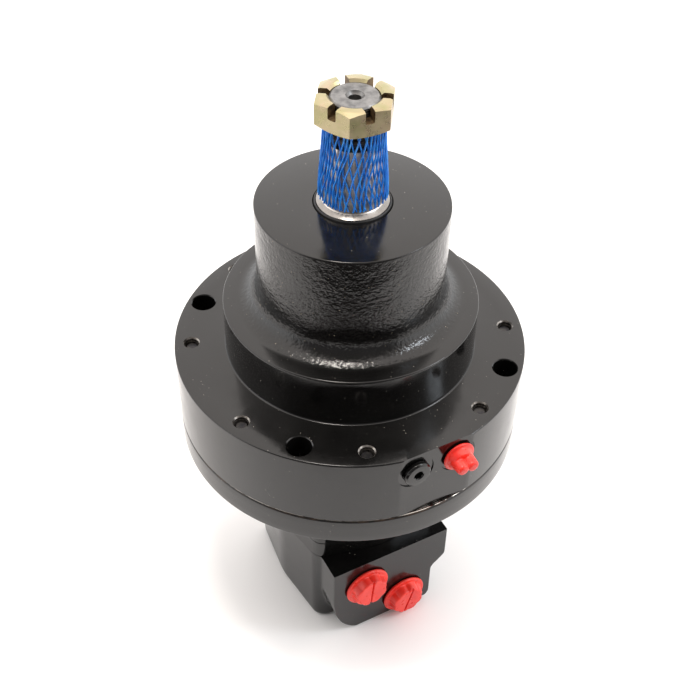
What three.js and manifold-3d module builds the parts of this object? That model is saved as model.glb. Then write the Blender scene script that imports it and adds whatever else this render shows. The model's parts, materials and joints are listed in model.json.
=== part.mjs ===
// Orbital hydraulic wheel motor with a spring-applied parking brake, in millimetres.
// Z is the output shaft's axis, pointing to the shaft's nut. The origin is the centre of the
// valve housing's rear face, and the pressure ports face -Y.
import * as THREE from 'three';
import { mergeVertices } from 'three/addons/utils/BufferGeometryUtils.js';
import Module from 'manifold-3d';

const wasm = await Module();
wasm.setup();

// Driving dimensions
const GAP = 0.3; // between faces that touch on the real motor
const EDGE = 0.8; // chamfer on turned edges
const FLANGE_RADIUS = 98.43;
const COVER_BASE = 134.5;
const COVER_TOP = 151.55;
const FLANGE_TOP = 196;
const RIM_FLAT = 96.1; // distance of the flat on the rim from the axis
const PILOT_RADIUS = 69.85;
const PILOT_TOP = 226.4;
const NOSE_RADIUS = 50.8;
const NOSE_TOP = 288;
const NOSE_FILLET = 12;
const BOLT_CIRCLE = 88.9;
const MOUNT_HOLE_RADIUS = 6.7;
const MOUNT_HOLES = 4;
const COVER_SCREWS = 8;
const COVER_SCREW_RADIUS = 3.65;
const COVER_HEAD_RADIUS = 5.95;
const COVER_HEAD_HEIGHT = 7.9;
const COVER_COUNTERBORE = 9;

const MOTOR_RADIUS = 50;
const VALVE_HOUSING_RADIUS = 47;
const MOTOR_BOLT_CIRCLE = 49;
const LOBE_RADIUS = 8.6; // round each motor bolt
const MOTOR_BOLTS = 4;
const MOTOR_BOLT_RADIUS = 4;
const MOTOR_HEAD_RADIUS = 6.5;
const MOTOR_HEAD_BASE = 1;
const MOTOR_HEAD_TOP = 9.2;
const VALVE_HOUSING_TOP = 63;
const VALVE_PLATE_TOP = 75.7;
const RING_TOP = 98.7;
const WEAR_PLATE_TOP = 104.7;

const PORT_FACE = 59; // distance of the port face from the axis
const BLOCK_HALF_WIDTH = 39.7;
const BLOCK_LEFT_ROUND = { width: 22, height: 36 }; // long curve at the lower left
const BLOCK_RIGHT_STEP = { halfWidth: 30, top: 40.5, base: 28.5, corner: 6 };
const PORT_BORE_RADIUS = 10.2;
const PORT_DEPTH = 17;
const UPPER_PORT = { x: -17.2, z: 41.5 };
const LOWER_PORT = { x: 10, z: 15.5 };
const BRAKE_PORT_OFFSET = 12.6;
const BRAKE_PORT_HEIGHT = 183.6;
const BRAKE_PORT_RADIUS = 5.2;
const SPOTFACE_RADIUS = 10.5; // shallow seat round each brake port
const SPOTFACE_DEPTH = 0.6;

const ROLLERS = 7;
const ROLLER_CIRCLE = 32;
const ROLLER_RADIUS = 6.6;
const ECCENTRICITY = 2.7;
const ROLLING_CLEARANCE = 0.28;
const STAR_CENTRE_X = -ECCENTRICITY;

const JOURNAL_RADIUS = 19.05;
const TAPER_LARGE_RADIUS = 15.875;
const TAPER_SMALL_RADIUS = 13.7;
const TAPER_BASE = 291;
const TAPER_TOP = 326;
const THREAD_RADIUS = 12.4;
const SHAFT_END = 349;
const SHAFT_TAIL = 138;
const TAIL_RADIUS = 26;
const HUB_RADIUS = 32.5;
const HUB_TOP = 206;
const REAR_SEAT_RADIUS = 24;
const FRONT_SEAT_RADIUS = 22.5;
const NUT_BASE = 336.5;
const NUT_TOP = 350;
const NUT_FLATS = 36.5;

const CAVITY_RADIUS = 60; // brake disc chamber
const CAVITY_TOP = 206.3;
const PISTON_RADIUS = 74;
const PISTON_NECK_RADIUS = 66;
const PISTON_BORE = 36;
const PISTON_BASE = 160.6;
const PISTON_SHOULDER = 180;
const PISTON_TOP = 191;
const CHAMBER_TOP = 185.3;
const DISC_PAIRS = 3;
const DISC_THICKNESS = 2.2;
const LOCK_LUGS = 4;

// Splines: the shaft's teeth, then the slots that take them
const DRIVE_SPLINE = { teeth: 8, root: 12.2, tip: 14.2, width: 3.8, bore: 13, slotTip: 15.2, slotWidth: 5.4 };
const VALVE_SPLINE = { teeth: 6, root: 7.1, tip: 8.8, width: 3, bore: 7.9, slotTip: 9.8, slotWidth: 4.4 };
const HUB_SPLINE = { teeth: 12, root: 30, tip: HUB_RADIUS, width: 7, bore: 30.4, slotTip: 32.9, slotWidth: 8 };

// Facets round a full turn
const LARGE = 48;
const MIDDLE = 32;
const INNER = 24;
const HOLE = 12;
const SMALL_HOLE = 8;

const black = { color: 0x141414, roughness: 0.3, metalness: 0 };
const steel = { color: 0x9a9a98, roughness: 0.3, metalness: 1 };
const hardSteel = { color: 0x77777a, roughness: 0.25, metalness: 1 };
const blackSteel = { color: 0x1e1e20, roughness: 0.45, metalness: 1 };
const zinc = { color: 0xd9c48c, roughness: 0.35, metalness: 1 };
const rubber = { color: 0x101010, roughness: 0.8, metalness: 0 };
const redPlastic = { color: 0xf03428, roughness: 0.4, metalness: 0 };
const bluePlastic = { color: 0x1f6fd6, roughness: 0.4, metalness: 0 };
const ironFinish = { color: 0x55534f, roughness: 0.5, metalness: 1 };
const friction = { color: 0x6b5a48, roughness: 0.9, metalness: 0 };

const motor = new THREE.Group();

// Shape helpers

// Turns a closed three.js geometry into a solid that can be joined and cut.
function solid(geometry) {
  const bare = geometry.clone();
  bare.deleteAttribute('normal');
  bare.deleteAttribute('uv');
  const merged = mergeVertices(bare, 1e-4);
  const vertProperties = new Float32Array(merged.attributes.position.array);
  const triVerts = new Uint32Array(merged.index.array);
  return new wasm.Manifold(new wasm.Mesh({ numProp: 3, vertProperties, triVerts }));
}

// Turns a solid back into a three.js geometry.
function geometryOf(shape) {
  const { vertProperties, triVerts } = shape.getMesh();
  const geometry = new THREE.BufferGeometry();
  geometry.setAttribute('position', new THREE.BufferAttribute(vertProperties, 3));
  geometry.setIndex(new THREE.BufferAttribute(triVerts, 1));
  return geometry;
}

// Adds a named piece to the motor, or to a group that turns or moves it.
function addPiece(name, shape, finish, parent = motor) {
  const geometry = shape instanceof THREE.BufferGeometry ? shape : geometryOf(shape);
  const mesh = new THREE.Mesh(geometry, new THREE.MeshStandardMaterial(finish));
  mesh.name = name;
  parent.add(mesh);
  return mesh;
}

// Turns a closed outline of [radius, height] points about Z. The points run up the outside.
function turned(outline, segments = INNER) {
  const points = [...outline, outline[0]].map(([radius, height]) => new THREE.Vector2(radius, height));
  return solid(new THREE.LatheGeometry(points, segments).rotateX(Math.PI / 2));
}

// A plain ring about Z.
function ring(inner, outer, low, high, segments = INNER) {
  return turned([[outer, low], [outer, high], [inner, high], [inner, low]], segments);
}

// A cylinder along Z, from one height to another.
function rod(radius, low, high, x = 0, y = 0, segments = HOLE) {
  const geometry = new THREE.CylinderGeometry(radius, radius, high - low, segments);
  return solid(geometry.rotateX(Math.PI / 2).translate(x, y, (low + high) / 2));
}

// A cylinder along Y, between two distances in front of the axis.
function crossRod(radius, near, far, x, z, segments = HOLE) {
  const geometry = new THREE.CylinderGeometry(radius, radius, far - near, segments);
  return solid(geometry.translate(x, -(near + far) / 2, z));
}

function block(width, depth, height, x, y, z) {
  return solid(new THREE.BoxGeometry(width, depth, height).translate(x, y, z));
}

// A flat outline pushed up along Z.
function prism(points, low, high) {
  const shape = new THREE.Shape(points.map(([x, y]) => new THREE.Vector2(x, y)));
  const geometry = new THREE.ExtrudeGeometry(shape, { depth: high - low, bevelEnabled: false, steps: 1 });
  return solid(geometry.translate(0, 0, low));
}

function regularPolygon(sides, acrossFlats, turn = 0) {
  const corner = acrossFlats / 2 / Math.cos(Math.PI / sides);
  return Array.from({ length: sides }, (_, i) => {
    const angle = turn + (i * 2 * Math.PI) / sides;
    return [corner * Math.cos(angle), corner * Math.sin(angle)];
  });
}

// Places on a circle, count of them, the first at startAngle in degrees.
function onCircle(radius, count, startAngle) {
  return Array.from({ length: count }, (_, i) => {
    const angle = THREE.MathUtils.degToRad(startAngle + (i * 360) / count);
    return { x: radius * Math.cos(angle), y: radius * Math.sin(angle), angle };
  });
}

function cutAll(shape, tools) {
  return tools.reduce((left, tool) => left.subtract(tool), shape);
}

function joinAll(shapes) {
  return shapes.reduce((whole, shape) => whole.add(shape));
}

// Straight-sided spline outline: each tooth is a trapezium between the root and the tip.
function toothedOutline(root, tip, teeth, toothWidth) {
  return Array.from({ length: teeth }, (_, i) => {
    const middle = (i * 2 * Math.PI) / teeth;
    const atRoot = toothWidth / 2 / root + 0.06;
    const atTip = toothWidth / 2 / tip - 0.02;
    return [[root, -atRoot], [tip, -atTip], [tip, atTip], [root, atRoot]]
      .map(([radius, offset]) => [radius * Math.cos(middle + offset), radius * Math.sin(middle + offset)]);
  }).flat();
}

function splineTeeth({ teeth, root, tip, width }, extraTip = 0) {
  return toothedOutline(root, tip + extraTip, teeth, width);
}

function splineSlots({ teeth, bore, slotTip, slotWidth }) {
  return toothedOutline(bore, slotTip, teeth, slotWidth);
}

const mountHoles = onCircle(BOLT_CIRCLE, MOUNT_HOLES, 45);
const coverScrewPlaces = onCircle(BOLT_CIRCLE, COVER_SCREWS, 22.5);
const motorBoltPlaces = onCircle(MOTOR_BOLT_CIRCLE, MOTOR_BOLTS, 45);

// Brake housing: nose, pilot and mounting flange in one casting, bored for the shaft and brake

function noseFillet() {
  const centre = { r: NOSE_RADIUS + NOSE_FILLET, z: PILOT_TOP + NOSE_FILLET };
  const steps = 3;
  return Array.from({ length: steps + 1 }, (_, i) => {
    const angle = -Math.PI / 2 - (i / steps) * (Math.PI / 2);
    return [centre.r + NOSE_FILLET * Math.cos(angle), centre.z + NOSE_FILLET * Math.sin(angle)];
  });
}

function brakeHousing() {
  const base = COVER_TOP + GAP;
  const outside = [
    [FLANGE_RADIUS - EDGE, base],
    [FLANGE_RADIUS, base + EDGE],
    [FLANGE_RADIUS, FLANGE_TOP - EDGE],
    [FLANGE_RADIUS - EDGE, FLANGE_TOP],
    [PILOT_RADIUS + 1, FLANGE_TOP],
    [PILOT_RADIUS, FLANGE_TOP + 1],
    [PILOT_RADIUS, PILOT_TOP - EDGE],
    [PILOT_RADIUS - EDGE, PILOT_TOP],
    ...noseFillet(),
    [NOSE_RADIUS, NOSE_TOP - EDGE],
    [NOSE_RADIUS - EDGE, NOSE_TOP],
  ];
  const inside = [
    [20.3, NOSE_TOP + 1],
    [20.3, 286.2],
    [27, 286.2],
    [27, 276],
    [34, 276],
    [34, 272.3],
    [40.3, 272.3],
    [40.3, 252],
    [40.8, 251],
    [40.8, 232.3],
    [42.8, 232.3],
    [42.8, CAVITY_TOP],
    [CAVITY_RADIUS + GAP, CAVITY_TOP],
    [CAVITY_RADIUS + GAP, PISTON_TOP],
    [PISTON_NECK_RADIUS + GAP, PISTON_TOP],
    [PISTON_NECK_RADIUS + GAP, CHAMBER_TOP],
    [PISTON_RADIUS + GAP, CHAMBER_TOP],
    [PISTON_RADIUS + GAP, base - 1],
  ];
  const flatDepth = FLANGE_RADIUS - RIM_FLAT + 5;
  const rimFlat = block(
    2 * FLANGE_RADIUS, flatDepth, FLANGE_TOP - base + 2,
    0, -RIM_FLAT - flatDepth / 2, (FLANGE_TOP + base) / 2,
  );
  const lockGrooves = onCircle(CAVITY_RADIUS, LOCK_LUGS, 0)
    .map(({ x, y }) => rod(4, PISTON_TOP, CAVITY_TOP, x, y, SMALL_HOLE));
  const mounting = mountHoles.map(({ x, y }) => rod(MOUNT_HOLE_RADIUS, base - 1, FLANGE_TOP + 1, x, y));
  const tapped = coverScrewPlaces
    .map(({ x, y }) => rod(COVER_SCREW_RADIUS + GAP, base - 1, FLANGE_TOP + 1, x, y, SMALL_HOLE));
  const brakePorts = [-BRAKE_PORT_OFFSET, BRAKE_PORT_OFFSET].flatMap((x) => [
    crossRod(SPOTFACE_RADIUS, RIM_FLAT - SPOTFACE_DEPTH, RIM_FLAT + 5, x, BRAKE_PORT_HEIGHT, INNER),
    crossRod(BRAKE_PORT_RADIUS, RIM_FLAT - 14, RIM_FLAT + 1, x, BRAKE_PORT_HEIGHT),
    crossRod(1.8, PISTON_RADIUS - 4, RIM_FLAT - 13, x, CHAMBER_TOP - 2.2, SMALL_HOLE),
  ]);
  const bore = turned([[0, base - 1], ...inside.slice().reverse(), [0, NOSE_TOP + 1]]);
  return cutAll(
    turned([...outside, [0, NOSE_TOP], [0, base]], LARGE),
    [bore, rimFlat, ...lockGrooves, ...mounting, ...tapped, ...brakePorts],
  );
}

// Cover plate: closes the brake chamber and carries the motor section

const COVER_SEAL_INNER = 77;
const COVER_SEAL_OUTER = 80;

function coverPlate() {
  const plate = turned([
    [FLANGE_RADIUS - EDGE, COVER_BASE],
    [FLANGE_RADIUS, COVER_BASE + EDGE],
    [FLANGE_RADIUS, COVER_TOP - EDGE],
    [FLANGE_RADIUS - EDGE, COVER_TOP],
    [COVER_SEAL_OUTER, COVER_TOP],
    [COVER_SEAL_OUTER, COVER_TOP - 2.6],
    [COVER_SEAL_INNER, COVER_TOP - 2.6],
    [COVER_SEAL_INNER, COVER_TOP],
    [32, COVER_TOP],
    [32, COVER_BASE],
  ], LARGE);
  const mounting = mountHoles.map(({ x, y }) => rod(MOUNT_HOLE_RADIUS, COVER_BASE - 1, COVER_TOP + 1, x, y));
  const screwHoles = coverScrewPlaces.flatMap(({ x, y }) => [
    rod(COVER_SCREW_RADIUS + GAP, COVER_BASE - 1, COVER_TOP + 1, x, y, SMALL_HOLE),
    rod(COVER_HEAD_RADIUS + GAP, COVER_BASE - 1, COVER_BASE + COVER_COUNTERBORE, x, y),
  ]);
  const motorHoles = motorBoltPlaces
    .map(({ x, y }) => rod(MOTOR_BOLT_RADIUS + GAP, COVER_BASE - 1, COVER_BASE + 13.5, x, y, SMALL_HOLE));
  return cutAll(plate, [...mounting, ...screwHoles, ...motorHoles]);
}

// A socket-head screw standing on its head at the origin, shank up
function socketScrew(shankRadius, headRadius, headHeight, length, socketFlats) {
  const screw = turned([
    [0, 0],
    [headRadius - 0.5, 0],
    [headRadius, 0.5],
    [headRadius, headHeight],
    [shankRadius, headHeight],
    [shankRadius, length - 1],
    [shankRadius - 1, length],
    [0, length],
  ], SMALL_HOLE);
  return screw.subtract(prism(regularPolygon(6, socketFlats), -1, headHeight * 0.6));
}

function addCoverScrews() {
  const headBase = COVER_BASE + COVER_COUNTERBORE - GAP - COVER_HEAD_HEIGHT;
  const screw = geometryOf(
    socketScrew(COVER_SCREW_RADIUS, COVER_HEAD_RADIUS, COVER_HEAD_HEIGHT, FLANGE_TOP - 3 - headBase, 6.35),
  );
  coverScrewPlaces.forEach(({ x, y }, i) => {
    addPiece(`cover_screw_${i + 1}`, screw, blackSteel).position.set(x, y, headBase);
  });
}

function addMotorBolts() {
  const length = COVER_BASE + 12.5 - MOTOR_HEAD_BASE;
  const bolt = geometryOf(
    socketScrew(MOTOR_BOLT_RADIUS, MOTOR_HEAD_RADIUS, MOTOR_HEAD_TOP - MOTOR_HEAD_BASE, length, 6.4),
  );
  motorBoltPlaces.forEach(({ x, y }, i) => {
    addPiece(`motor_bolt_${i + 1}`, bolt, blackSteel).position.set(x, y, MOTOR_HEAD_BASE);
  });
}

// Motor sections: a round body with a lobe for each through bolt

// The tightest outline round a circular body and a round lobe at each bolt. In each direction, the
// outline's furthest point lies on the body or on one of the lobes, whichever reaches further.
function lobedOutline(bodyRadius) {
  const circles = [
    { x: 0, y: 0, radius: bodyRadius },
    ...motorBoltPlaces.map(({ x, y }) => ({ x, y, radius: LOBE_RADIUS })),
  ];
  const steps = 72;
  return Array.from({ length: steps }, (_, i) => {
    const angle = ((i + 0.5) * 2 * Math.PI) / steps;
    const dx = Math.cos(angle);
    const dy = Math.sin(angle);
    const reach = (circle) => circle.x * dx + circle.y * dy + circle.radius;
    const furthest = circles.reduce((best, circle) => (reach(circle) > reach(best) ? circle : best));
    return [furthest.x + furthest.radius * dx, furthest.y + furthest.radius * dy];
  });
}

function motorSection(bodyRadius, boreRadius, low, high) {
  const boltHoles = motorBoltPlaces
    .map(({ x, y }) => rod(MOTOR_BOLT_RADIUS + GAP, low - 1, high + 1, x, y, SMALL_HOLE));
  return cutAll(prism(lobedOutline(bodyRadius), low, high), [
    rod(boreRadius, low - 1, high + 1, 0, 0, INNER),
    ...boltHoles,
  ]);
}

const MOTOR_SEAL_INNER = 36;
const MOTOR_SEAL_OUTER = 39;

function motorFrontHousing() {
  const top = COVER_BASE - GAP;
  return motorSection(MOTOR_RADIUS, 20, WEAR_PLATE_TOP + GAP, top)
    .subtract(ring(MOTOR_SEAL_INNER, MOTOR_SEAL_OUTER, top - 2.6, top + 1));
}

function gerolerRing() {
  const low = VALVE_PLATE_TOP + GAP;
  const pockets = onCircle(ROLLER_CIRCLE, ROLLERS, 0)
    .map(({ x, y }) => rod(ROLLER_RADIUS + GAP, low - 1, RING_TOP + 1, x, y, 16));
  return cutAll(motorSection(MOTOR_RADIUS, 31.2, low, RING_TOP), pockets);
}

function valvePlate() {
  const low = VALVE_HOUSING_TOP + GAP;
  const timingHoles = onCircle(27.5, ROLLERS, 180 / ROLLERS)
    .map(({ x, y }) => rod(2.6, low - 1, VALVE_PLATE_TOP + 1, x, y, SMALL_HOLE));
  return cutAll(motorSection(MOTOR_RADIUS, 13, low, VALVE_PLATE_TOP), timingHoles);
}

// Rotor star: one lobe fewer than there are rollers. As it orbits, every roller stays against it.

// The star's outline is the roller centre's path around the star, moved in by the roller's radius.
function starOutline() {
  const steps = 84;
  return Array.from({ length: steps }, (_, i) => {
    const t = (i * 2 * Math.PI) / steps;
    const x = ROLLER_CIRCLE * Math.cos(t) + ECCENTRICITY * Math.cos(ROLLERS * t);
    const y = ROLLER_CIRCLE * Math.sin(t) + ECCENTRICITY * Math.sin(ROLLERS * t);
    const dx = -ROLLER_CIRCLE * Math.sin(t) - ROLLERS * ECCENTRICITY * Math.sin(ROLLERS * t);
    const dy = ROLLER_CIRCLE * Math.cos(t) + ROLLERS * ECCENTRICITY * Math.cos(ROLLERS * t);
    const inset = (ROLLER_RADIUS + ROLLING_CLEARANCE) / Math.hypot(dx, dy);
    return [x - dy * inset, y + dx * inset];
  });
}

const ROTOR_BASE = VALVE_PLATE_TOP + 2 * GAP;
const ROTOR_TOP = RING_TOP - GAP;
const ROTOR_STEP = 84; // between the valve drive's spline and the drive link's

function rotorStar() {
  return cutAll(prism(starOutline(), ROTOR_BASE, ROTOR_TOP), [
    prism(splineSlots(VALVE_SPLINE), ROTOR_BASE - 1, ROTOR_STEP + 1),
    prism(splineSlots(DRIVE_SPLINE), ROTOR_STEP, ROTOR_TOP + 1),
  ]);
}

function addRollers() {
  const roller = geometryOf(turned([
    [0, ROTOR_BASE],
    [ROLLER_RADIUS - 0.4, ROTOR_BASE],
    [ROLLER_RADIUS, ROTOR_BASE + 0.4],
    [ROLLER_RADIUS, ROTOR_TOP - 0.4],
    [ROLLER_RADIUS - 0.4, ROTOR_TOP],
    [0, ROTOR_TOP],
  ], 16));
  onCircle(ROLLER_CIRCLE, ROLLERS, 0).forEach(({ x, y }, i) => {
    addPiece(`geroler_roller_${i + 1}`, roller, hardSteel).position.set(x, y, 0);
  });
}

// Valve end: housing with the ports, rotating disc valve, balance ring and its spring

// The port block's right side seen from the front, downwards: an S-curve narrows it, then a corner.
function blockRightSide() {
  const { halfWidth, top, base, corner } = BLOCK_RIGHT_STEP;
  const steps = 6;
  const curve = Array.from({ length: steps + 1 }, (_, i) => {
    const ease = (1 - Math.cos((i * Math.PI) / steps)) / 2;
    return [BLOCK_HALF_WIDTH + (halfWidth - BLOCK_HALF_WIDTH) * ease, top + (base - top) * (i / steps)];
  });
  const round = Array.from({ length: steps + 1 }, (_, i) => {
    const angle = (-i * Math.PI) / 2 / steps;
    return [halfWidth - corner + corner * Math.cos(angle), corner + corner * Math.sin(angle)];
  });
  return [[BLOCK_HALF_WIDTH, VALVE_HOUSING_TOP], ...curve, ...round];
}

// The port block's left side, upwards: one long quarter of an ellipse, then straight to the top.
function blockLeftSide() {
  const { width, height } = BLOCK_LEFT_ROUND;
  const steps = 10;
  const round = Array.from({ length: steps + 1 }, (_, i) => {
    const angle = (i * Math.PI) / 2 / steps;
    return [width - BLOCK_HALF_WIDTH - width * Math.sin(angle), height - height * Math.cos(angle)];
  });
  return [...round, [-BLOCK_HALF_WIDTH, VALVE_HOUSING_TOP]];
}

function portBlock() {
  const outline = [...blockRightSide(), ...blockLeftSide()];
  const depth = PORT_FACE - 30;
  const shape = new THREE.Shape(outline.map(([x, z]) => new THREE.Vector2(x, z)));
  const geometry = new THREE.ExtrudeGeometry(shape, { depth, bevelEnabled: false, steps: 1 });
  return solid(geometry.rotateX(Math.PI / 2).translate(0, -PORT_FACE + depth, 0));
}

const VALVE_BORE = 32;
const SPRING_SEAT = 33;

function valveHousing() {
  const body = prism(lobedOutline(VALVE_HOUSING_RADIUS), 0, VALVE_HOUSING_TOP).add(portBlock());
  const bores = [
    rod(VALVE_BORE, SPRING_SEAT, VALVE_HOUSING_TOP + 1, 0, 0, MIDDLE),
    rod(14, 24, SPRING_SEAT + 1, 0, 0, INNER),
  ];
  const ports = [UPPER_PORT, LOWER_PORT]
    .map(({ x, z }) => crossRod(PORT_BORE_RADIUS, PORT_FACE - PORT_DEPTH, PORT_FACE + 1, x, z, INNER));
  const passages = [
    crossRod(5, 20, PORT_FACE - PORT_DEPTH + 1, UPPER_PORT.x, UPPER_PORT.z),
    crossRod(5, 4, PORT_FACE - PORT_DEPTH + 1, LOWER_PORT.x, LOWER_PORT.z),
    rod(4.4, LOWER_PORT.z, 25, LOWER_PORT.x - 1, -8.5),
  ];
  const boltHoles = motorBoltPlaces.flatMap(({ x, y }) => [
    rod(MOTOR_BOLT_RADIUS + GAP, -1, VALVE_HOUSING_TOP + 1, x, y, SMALL_HOLE),
    rod(MOTOR_HEAD_RADIUS + GAP, -1, MOTOR_HEAD_TOP + GAP, x, y),
  ]);
  return cutAll(body, [...bores, ...ports, ...passages, ...boltHoles]);
}

const DISC_VALVE_BASE = 47.5;

function discValve() {
  const top = VALVE_HOUSING_TOP;
  const through = onCircle(27.5, 6, 0).map(({ x, y }) => rod(2.4, DISC_VALVE_BASE - 1, top + 1, x, y, SMALL_HOLE));
  const notches = onCircle(30.5, 6, 30).map(({ x, y }) => rod(3.4, top - 6, top + 1, x, y, SMALL_HOLE));
  return cutAll(ring(6.9, 31.2, DISC_VALVE_BASE, top, MIDDLE), [
    prism(splineSlots(VALVE_SPLINE), DISC_VALVE_BASE - 1, top + 1),
    ...through,
    ...notches,
  ]);
}

// A flat ring bent into three waves
function balanceSpring() {
  const middle = 35.3;
  const waveHeight = 1.2;
  const thickness = 0.5;
  const flat = new THREE.LatheGeometry(
    [[29.5, -thickness], [29.5, thickness], [24.5, thickness], [24.5, -thickness], [29.5, -thickness]]
      .map(([radius, height]) => new THREE.Vector2(radius, height)),
    36,
  ).rotateX(Math.PI / 2);
  const points = flat.attributes.position;
  for (let i = 0; i < points.count; i += 1) {
    const angle = Math.atan2(points.getY(i), points.getX(i));
    points.setZ(i, points.getZ(i) + middle + waveHeight * Math.sin(3 * angle));
  }
  return solid(flat);
}

// Links: shafts with a crowned spline at each end that lean from the motor's axis to the star's

// A crowned spline about Z, widest at its middle
function crownedSpline(spline, middle, length) {
  const crown = 0.35;
  const { tip } = spline;
  const low = middle - length / 2;
  const high = middle + length / 2;
  const envelope = turned([
    [0, low],
    [tip - 2 * crown, low],
    [tip, middle],
    [tip - 2 * crown, high],
    [0, high],
  ], 16);
  return prism(splineTeeth(spline, 1), low, high).intersect(envelope);
}

// A group whose own Z axis runs from a point on the star's axis to one on the motor's axis
function leaningGroup(starHeight, axisHeight) {
  const lean = new THREE.Vector3(-STAR_CENTRE_X, 0, axisHeight - starHeight);
  if (axisHeight < starHeight) lean.negate();
  const group = new THREE.Group();
  group.position.set(STAR_CENTRE_X, 0, starHeight);
  group.quaternion.setFromUnitVectors(new THREE.Vector3(0, 0, 1), lean.normalize());
  motor.add(group);
  return group;
}

const LINK_STAR_HEIGHT = 92;
const LINK_SHAFT_HEIGHT = 150;

function addDriveLink() {
  const reach = LINK_SHAFT_HEIGHT - LINK_STAR_HEIGHT;
  const link = joinAll([
    crownedSpline(DRIVE_SPLINE, 0, 12),
    crownedSpline(DRIVE_SPLINE, reach, 12),
    rod(9.5, -6.2, reach + 6.2, 0, 0, 16),
  ]);
  addPiece('drive_link', link, hardSteel, leaningGroup(LINK_STAR_HEIGHT, LINK_SHAFT_HEIGHT));
}

const VALVE_DRIVE_STAR_HEIGHT = 78.4;
const VALVE_DRIVE_DISC_HEIGHT = 55;

function addValveDrive() {
  const reach = VALVE_DRIVE_STAR_HEIGHT - VALVE_DRIVE_DISC_HEIGHT;
  const link = joinAll([
    crownedSpline(VALVE_SPLINE, 0, 4.4),
    crownedSpline(VALVE_SPLINE, -reach, 5),
    rod(5.6, -reach - 2.6, 2.4),
  ]);
  addPiece('valve_drive', link, hardSteel, leaningGroup(VALVE_DRIVE_STAR_HEIGHT, VALVE_DRIVE_DISC_HEIGHT));
}

function driveSpacer() {
  return turned([[0, 82.4], [5.5, 82.4], [6, 82.9], [6, 84.4], [5.5, 84.9], [0, 84.9]], HOLE);
}

// Output shaft with its bearings

function outputShaft() {
  const shaft = turned([
    [0, SHAFT_TAIL],
    [TAIL_RADIUS - 1, SHAFT_TAIL],
    [TAIL_RADIUS, SHAFT_TAIL + 1],
    [TAIL_RADIUS, 187],
    [TAIL_RADIUS + 2, HUB_TOP],
    [REAR_SEAT_RADIUS, HUB_TOP],
    [REAR_SEAT_RADIUS, 234],
    [FRONT_SEAT_RADIUS, 235],
    [FRONT_SEAT_RADIUS, 276],
    [JOURNAL_RADIUS, 277],
    [JOURNAL_RADIUS, 289.3],
    [TAPER_LARGE_RADIUS, TAPER_BASE],
    [TAPER_SMALL_RADIUS, TAPER_TOP],
    [11.4, TAPER_TOP + 0.6],
    [11.4, TAPER_TOP + 2.6],
    [THREAD_RADIUS, TAPER_TOP + 3.4],
    [THREAD_RADIUS, SHAFT_END - 0.8],
    [THREAD_RADIUS - 0.8, SHAFT_END],
    [0, SHAFT_END],
  ], MIDDLE);
  const hub = prism(splineTeeth(HUB_SPLINE), 187, HUB_TOP);
  const centreHole = turned([
    [0, SHAFT_END - 9],
    [3.15, SHAFT_END - 8],
    [3.15, SHAFT_END - 1.5],
    [4.65, SHAFT_END],
    [4.65, SHAFT_END + 1],
    [0, SHAFT_END + 1],
  ], HOLE);
  return cutAll(shaft.add(hub), [
    prism(splineSlots(DRIVE_SPLINE), SHAFT_TAIL - 1, 166),
    centreHole,
    block(7.9, 8, 26, 0, TAPER_LARGE_RADIUS - 0.2, 308),
  ]);
}

// A tapered roller bearing: the cup stays in the housing, the cone and its rollers turn
function addTaperedBearing(name, low, high, bore, outer, opensUp) {
  const wide = opensUp ? high : low;
  const thin = opensUp ? low : high;
  const upright = (points) => (opensUp ? points : [...points].reverse());
  addPiece(`${name}_cup`, turned(upright([
    [outer, thin],
    [outer, wide],
    [outer - 3, wide],
    [outer - 6, thin],
  ])), hardSteel);
  const cone = turned(upright([
    [bore + 3.4, thin],
    [bore + 6.4, wide],
    [bore, wide],
    [bore, thin],
  ]));
  const innerMiddle = bore + 4.9;
  const outerMiddle = outer - 4.5;
  const rollerRadius = (outerMiddle - innerMiddle) / 2 + 0.2;
  const pitch = (outerMiddle + innerMiddle) / 2 - 0.8;
  const lean = Math.atan2(3, high - low) * (opensUp ? 1 : -1);
  const length = high - low - 4;
  const rollers = onCircle(pitch, 10, 0).map(({ x, y, angle }) => {
    const roller = new THREE.CylinderGeometry(rollerRadius, rollerRadius, length, 6).rotateX(Math.PI / 2);
    return solid(roller.rotateY(lean).rotateZ(angle).translate(x, y, (low + high) / 2));
  });
  addPiece(`${name}_cone`, joinAll([cone, ...rollers]), hardSteel);
}

function castleNut() {
  const cornerRadius = NUT_FLATS / 2 / Math.cos(Math.PI / 6);
  const chamfers = turned([
    [0, NUT_BASE],
    [cornerRadius - 2.2, NUT_BASE],
    [cornerRadius + 0.3, NUT_BASE + 1.4],
    [cornerRadius + 0.3, NUT_TOP - 1.6],
    [cornerRadius - 3.2, NUT_TOP],
    [0, NUT_TOP],
  ], 36);
  const firstCorner = THREE.MathUtils.degToRad(-5);
  const hexagon = prism(regularPolygon(6, NUT_FLATS, firstCorner), NUT_BASE, NUT_TOP).intersect(chamfers);
  const slotWidth = 4.8;
  const slotBase = 343.5;
  const slots = [0, 1, 2].map((i) => {
    const bar = new THREE.BoxGeometry(2 * NUT_FLATS, slotWidth, NUT_TOP - slotBase + 1);
    const angle = firstCorner + Math.PI / 6 + (i * Math.PI) / 3;
    return solid(bar.rotateZ(angle).translate(0, 0, (NUT_TOP + slotBase + 1) / 2));
  });
  return cutAll(hexagon, [rod(THREAD_RADIUS + GAP, NUT_BASE - 1, NUT_TOP + 1, 0, 0, INNER), ...slots]);
}

// The protective sleeve's outer wall follows the shaft's taper up to the nut.
function threadSleeve() {
  const outer = [[18.2, 292.8], [18.15, 300.6], [17.2, 312.5], [15.95, 328.6], [15.9, NUT_BASE - GAP]];
  const wall = 2;
  const inner = outer.map(([radius, height]) => [radius - wall, height]).reverse();
  return turned([...outer, ...inner]);
}

// Brake: discs turned by the shaft between plates held by the housing, a piston and its springs

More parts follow.
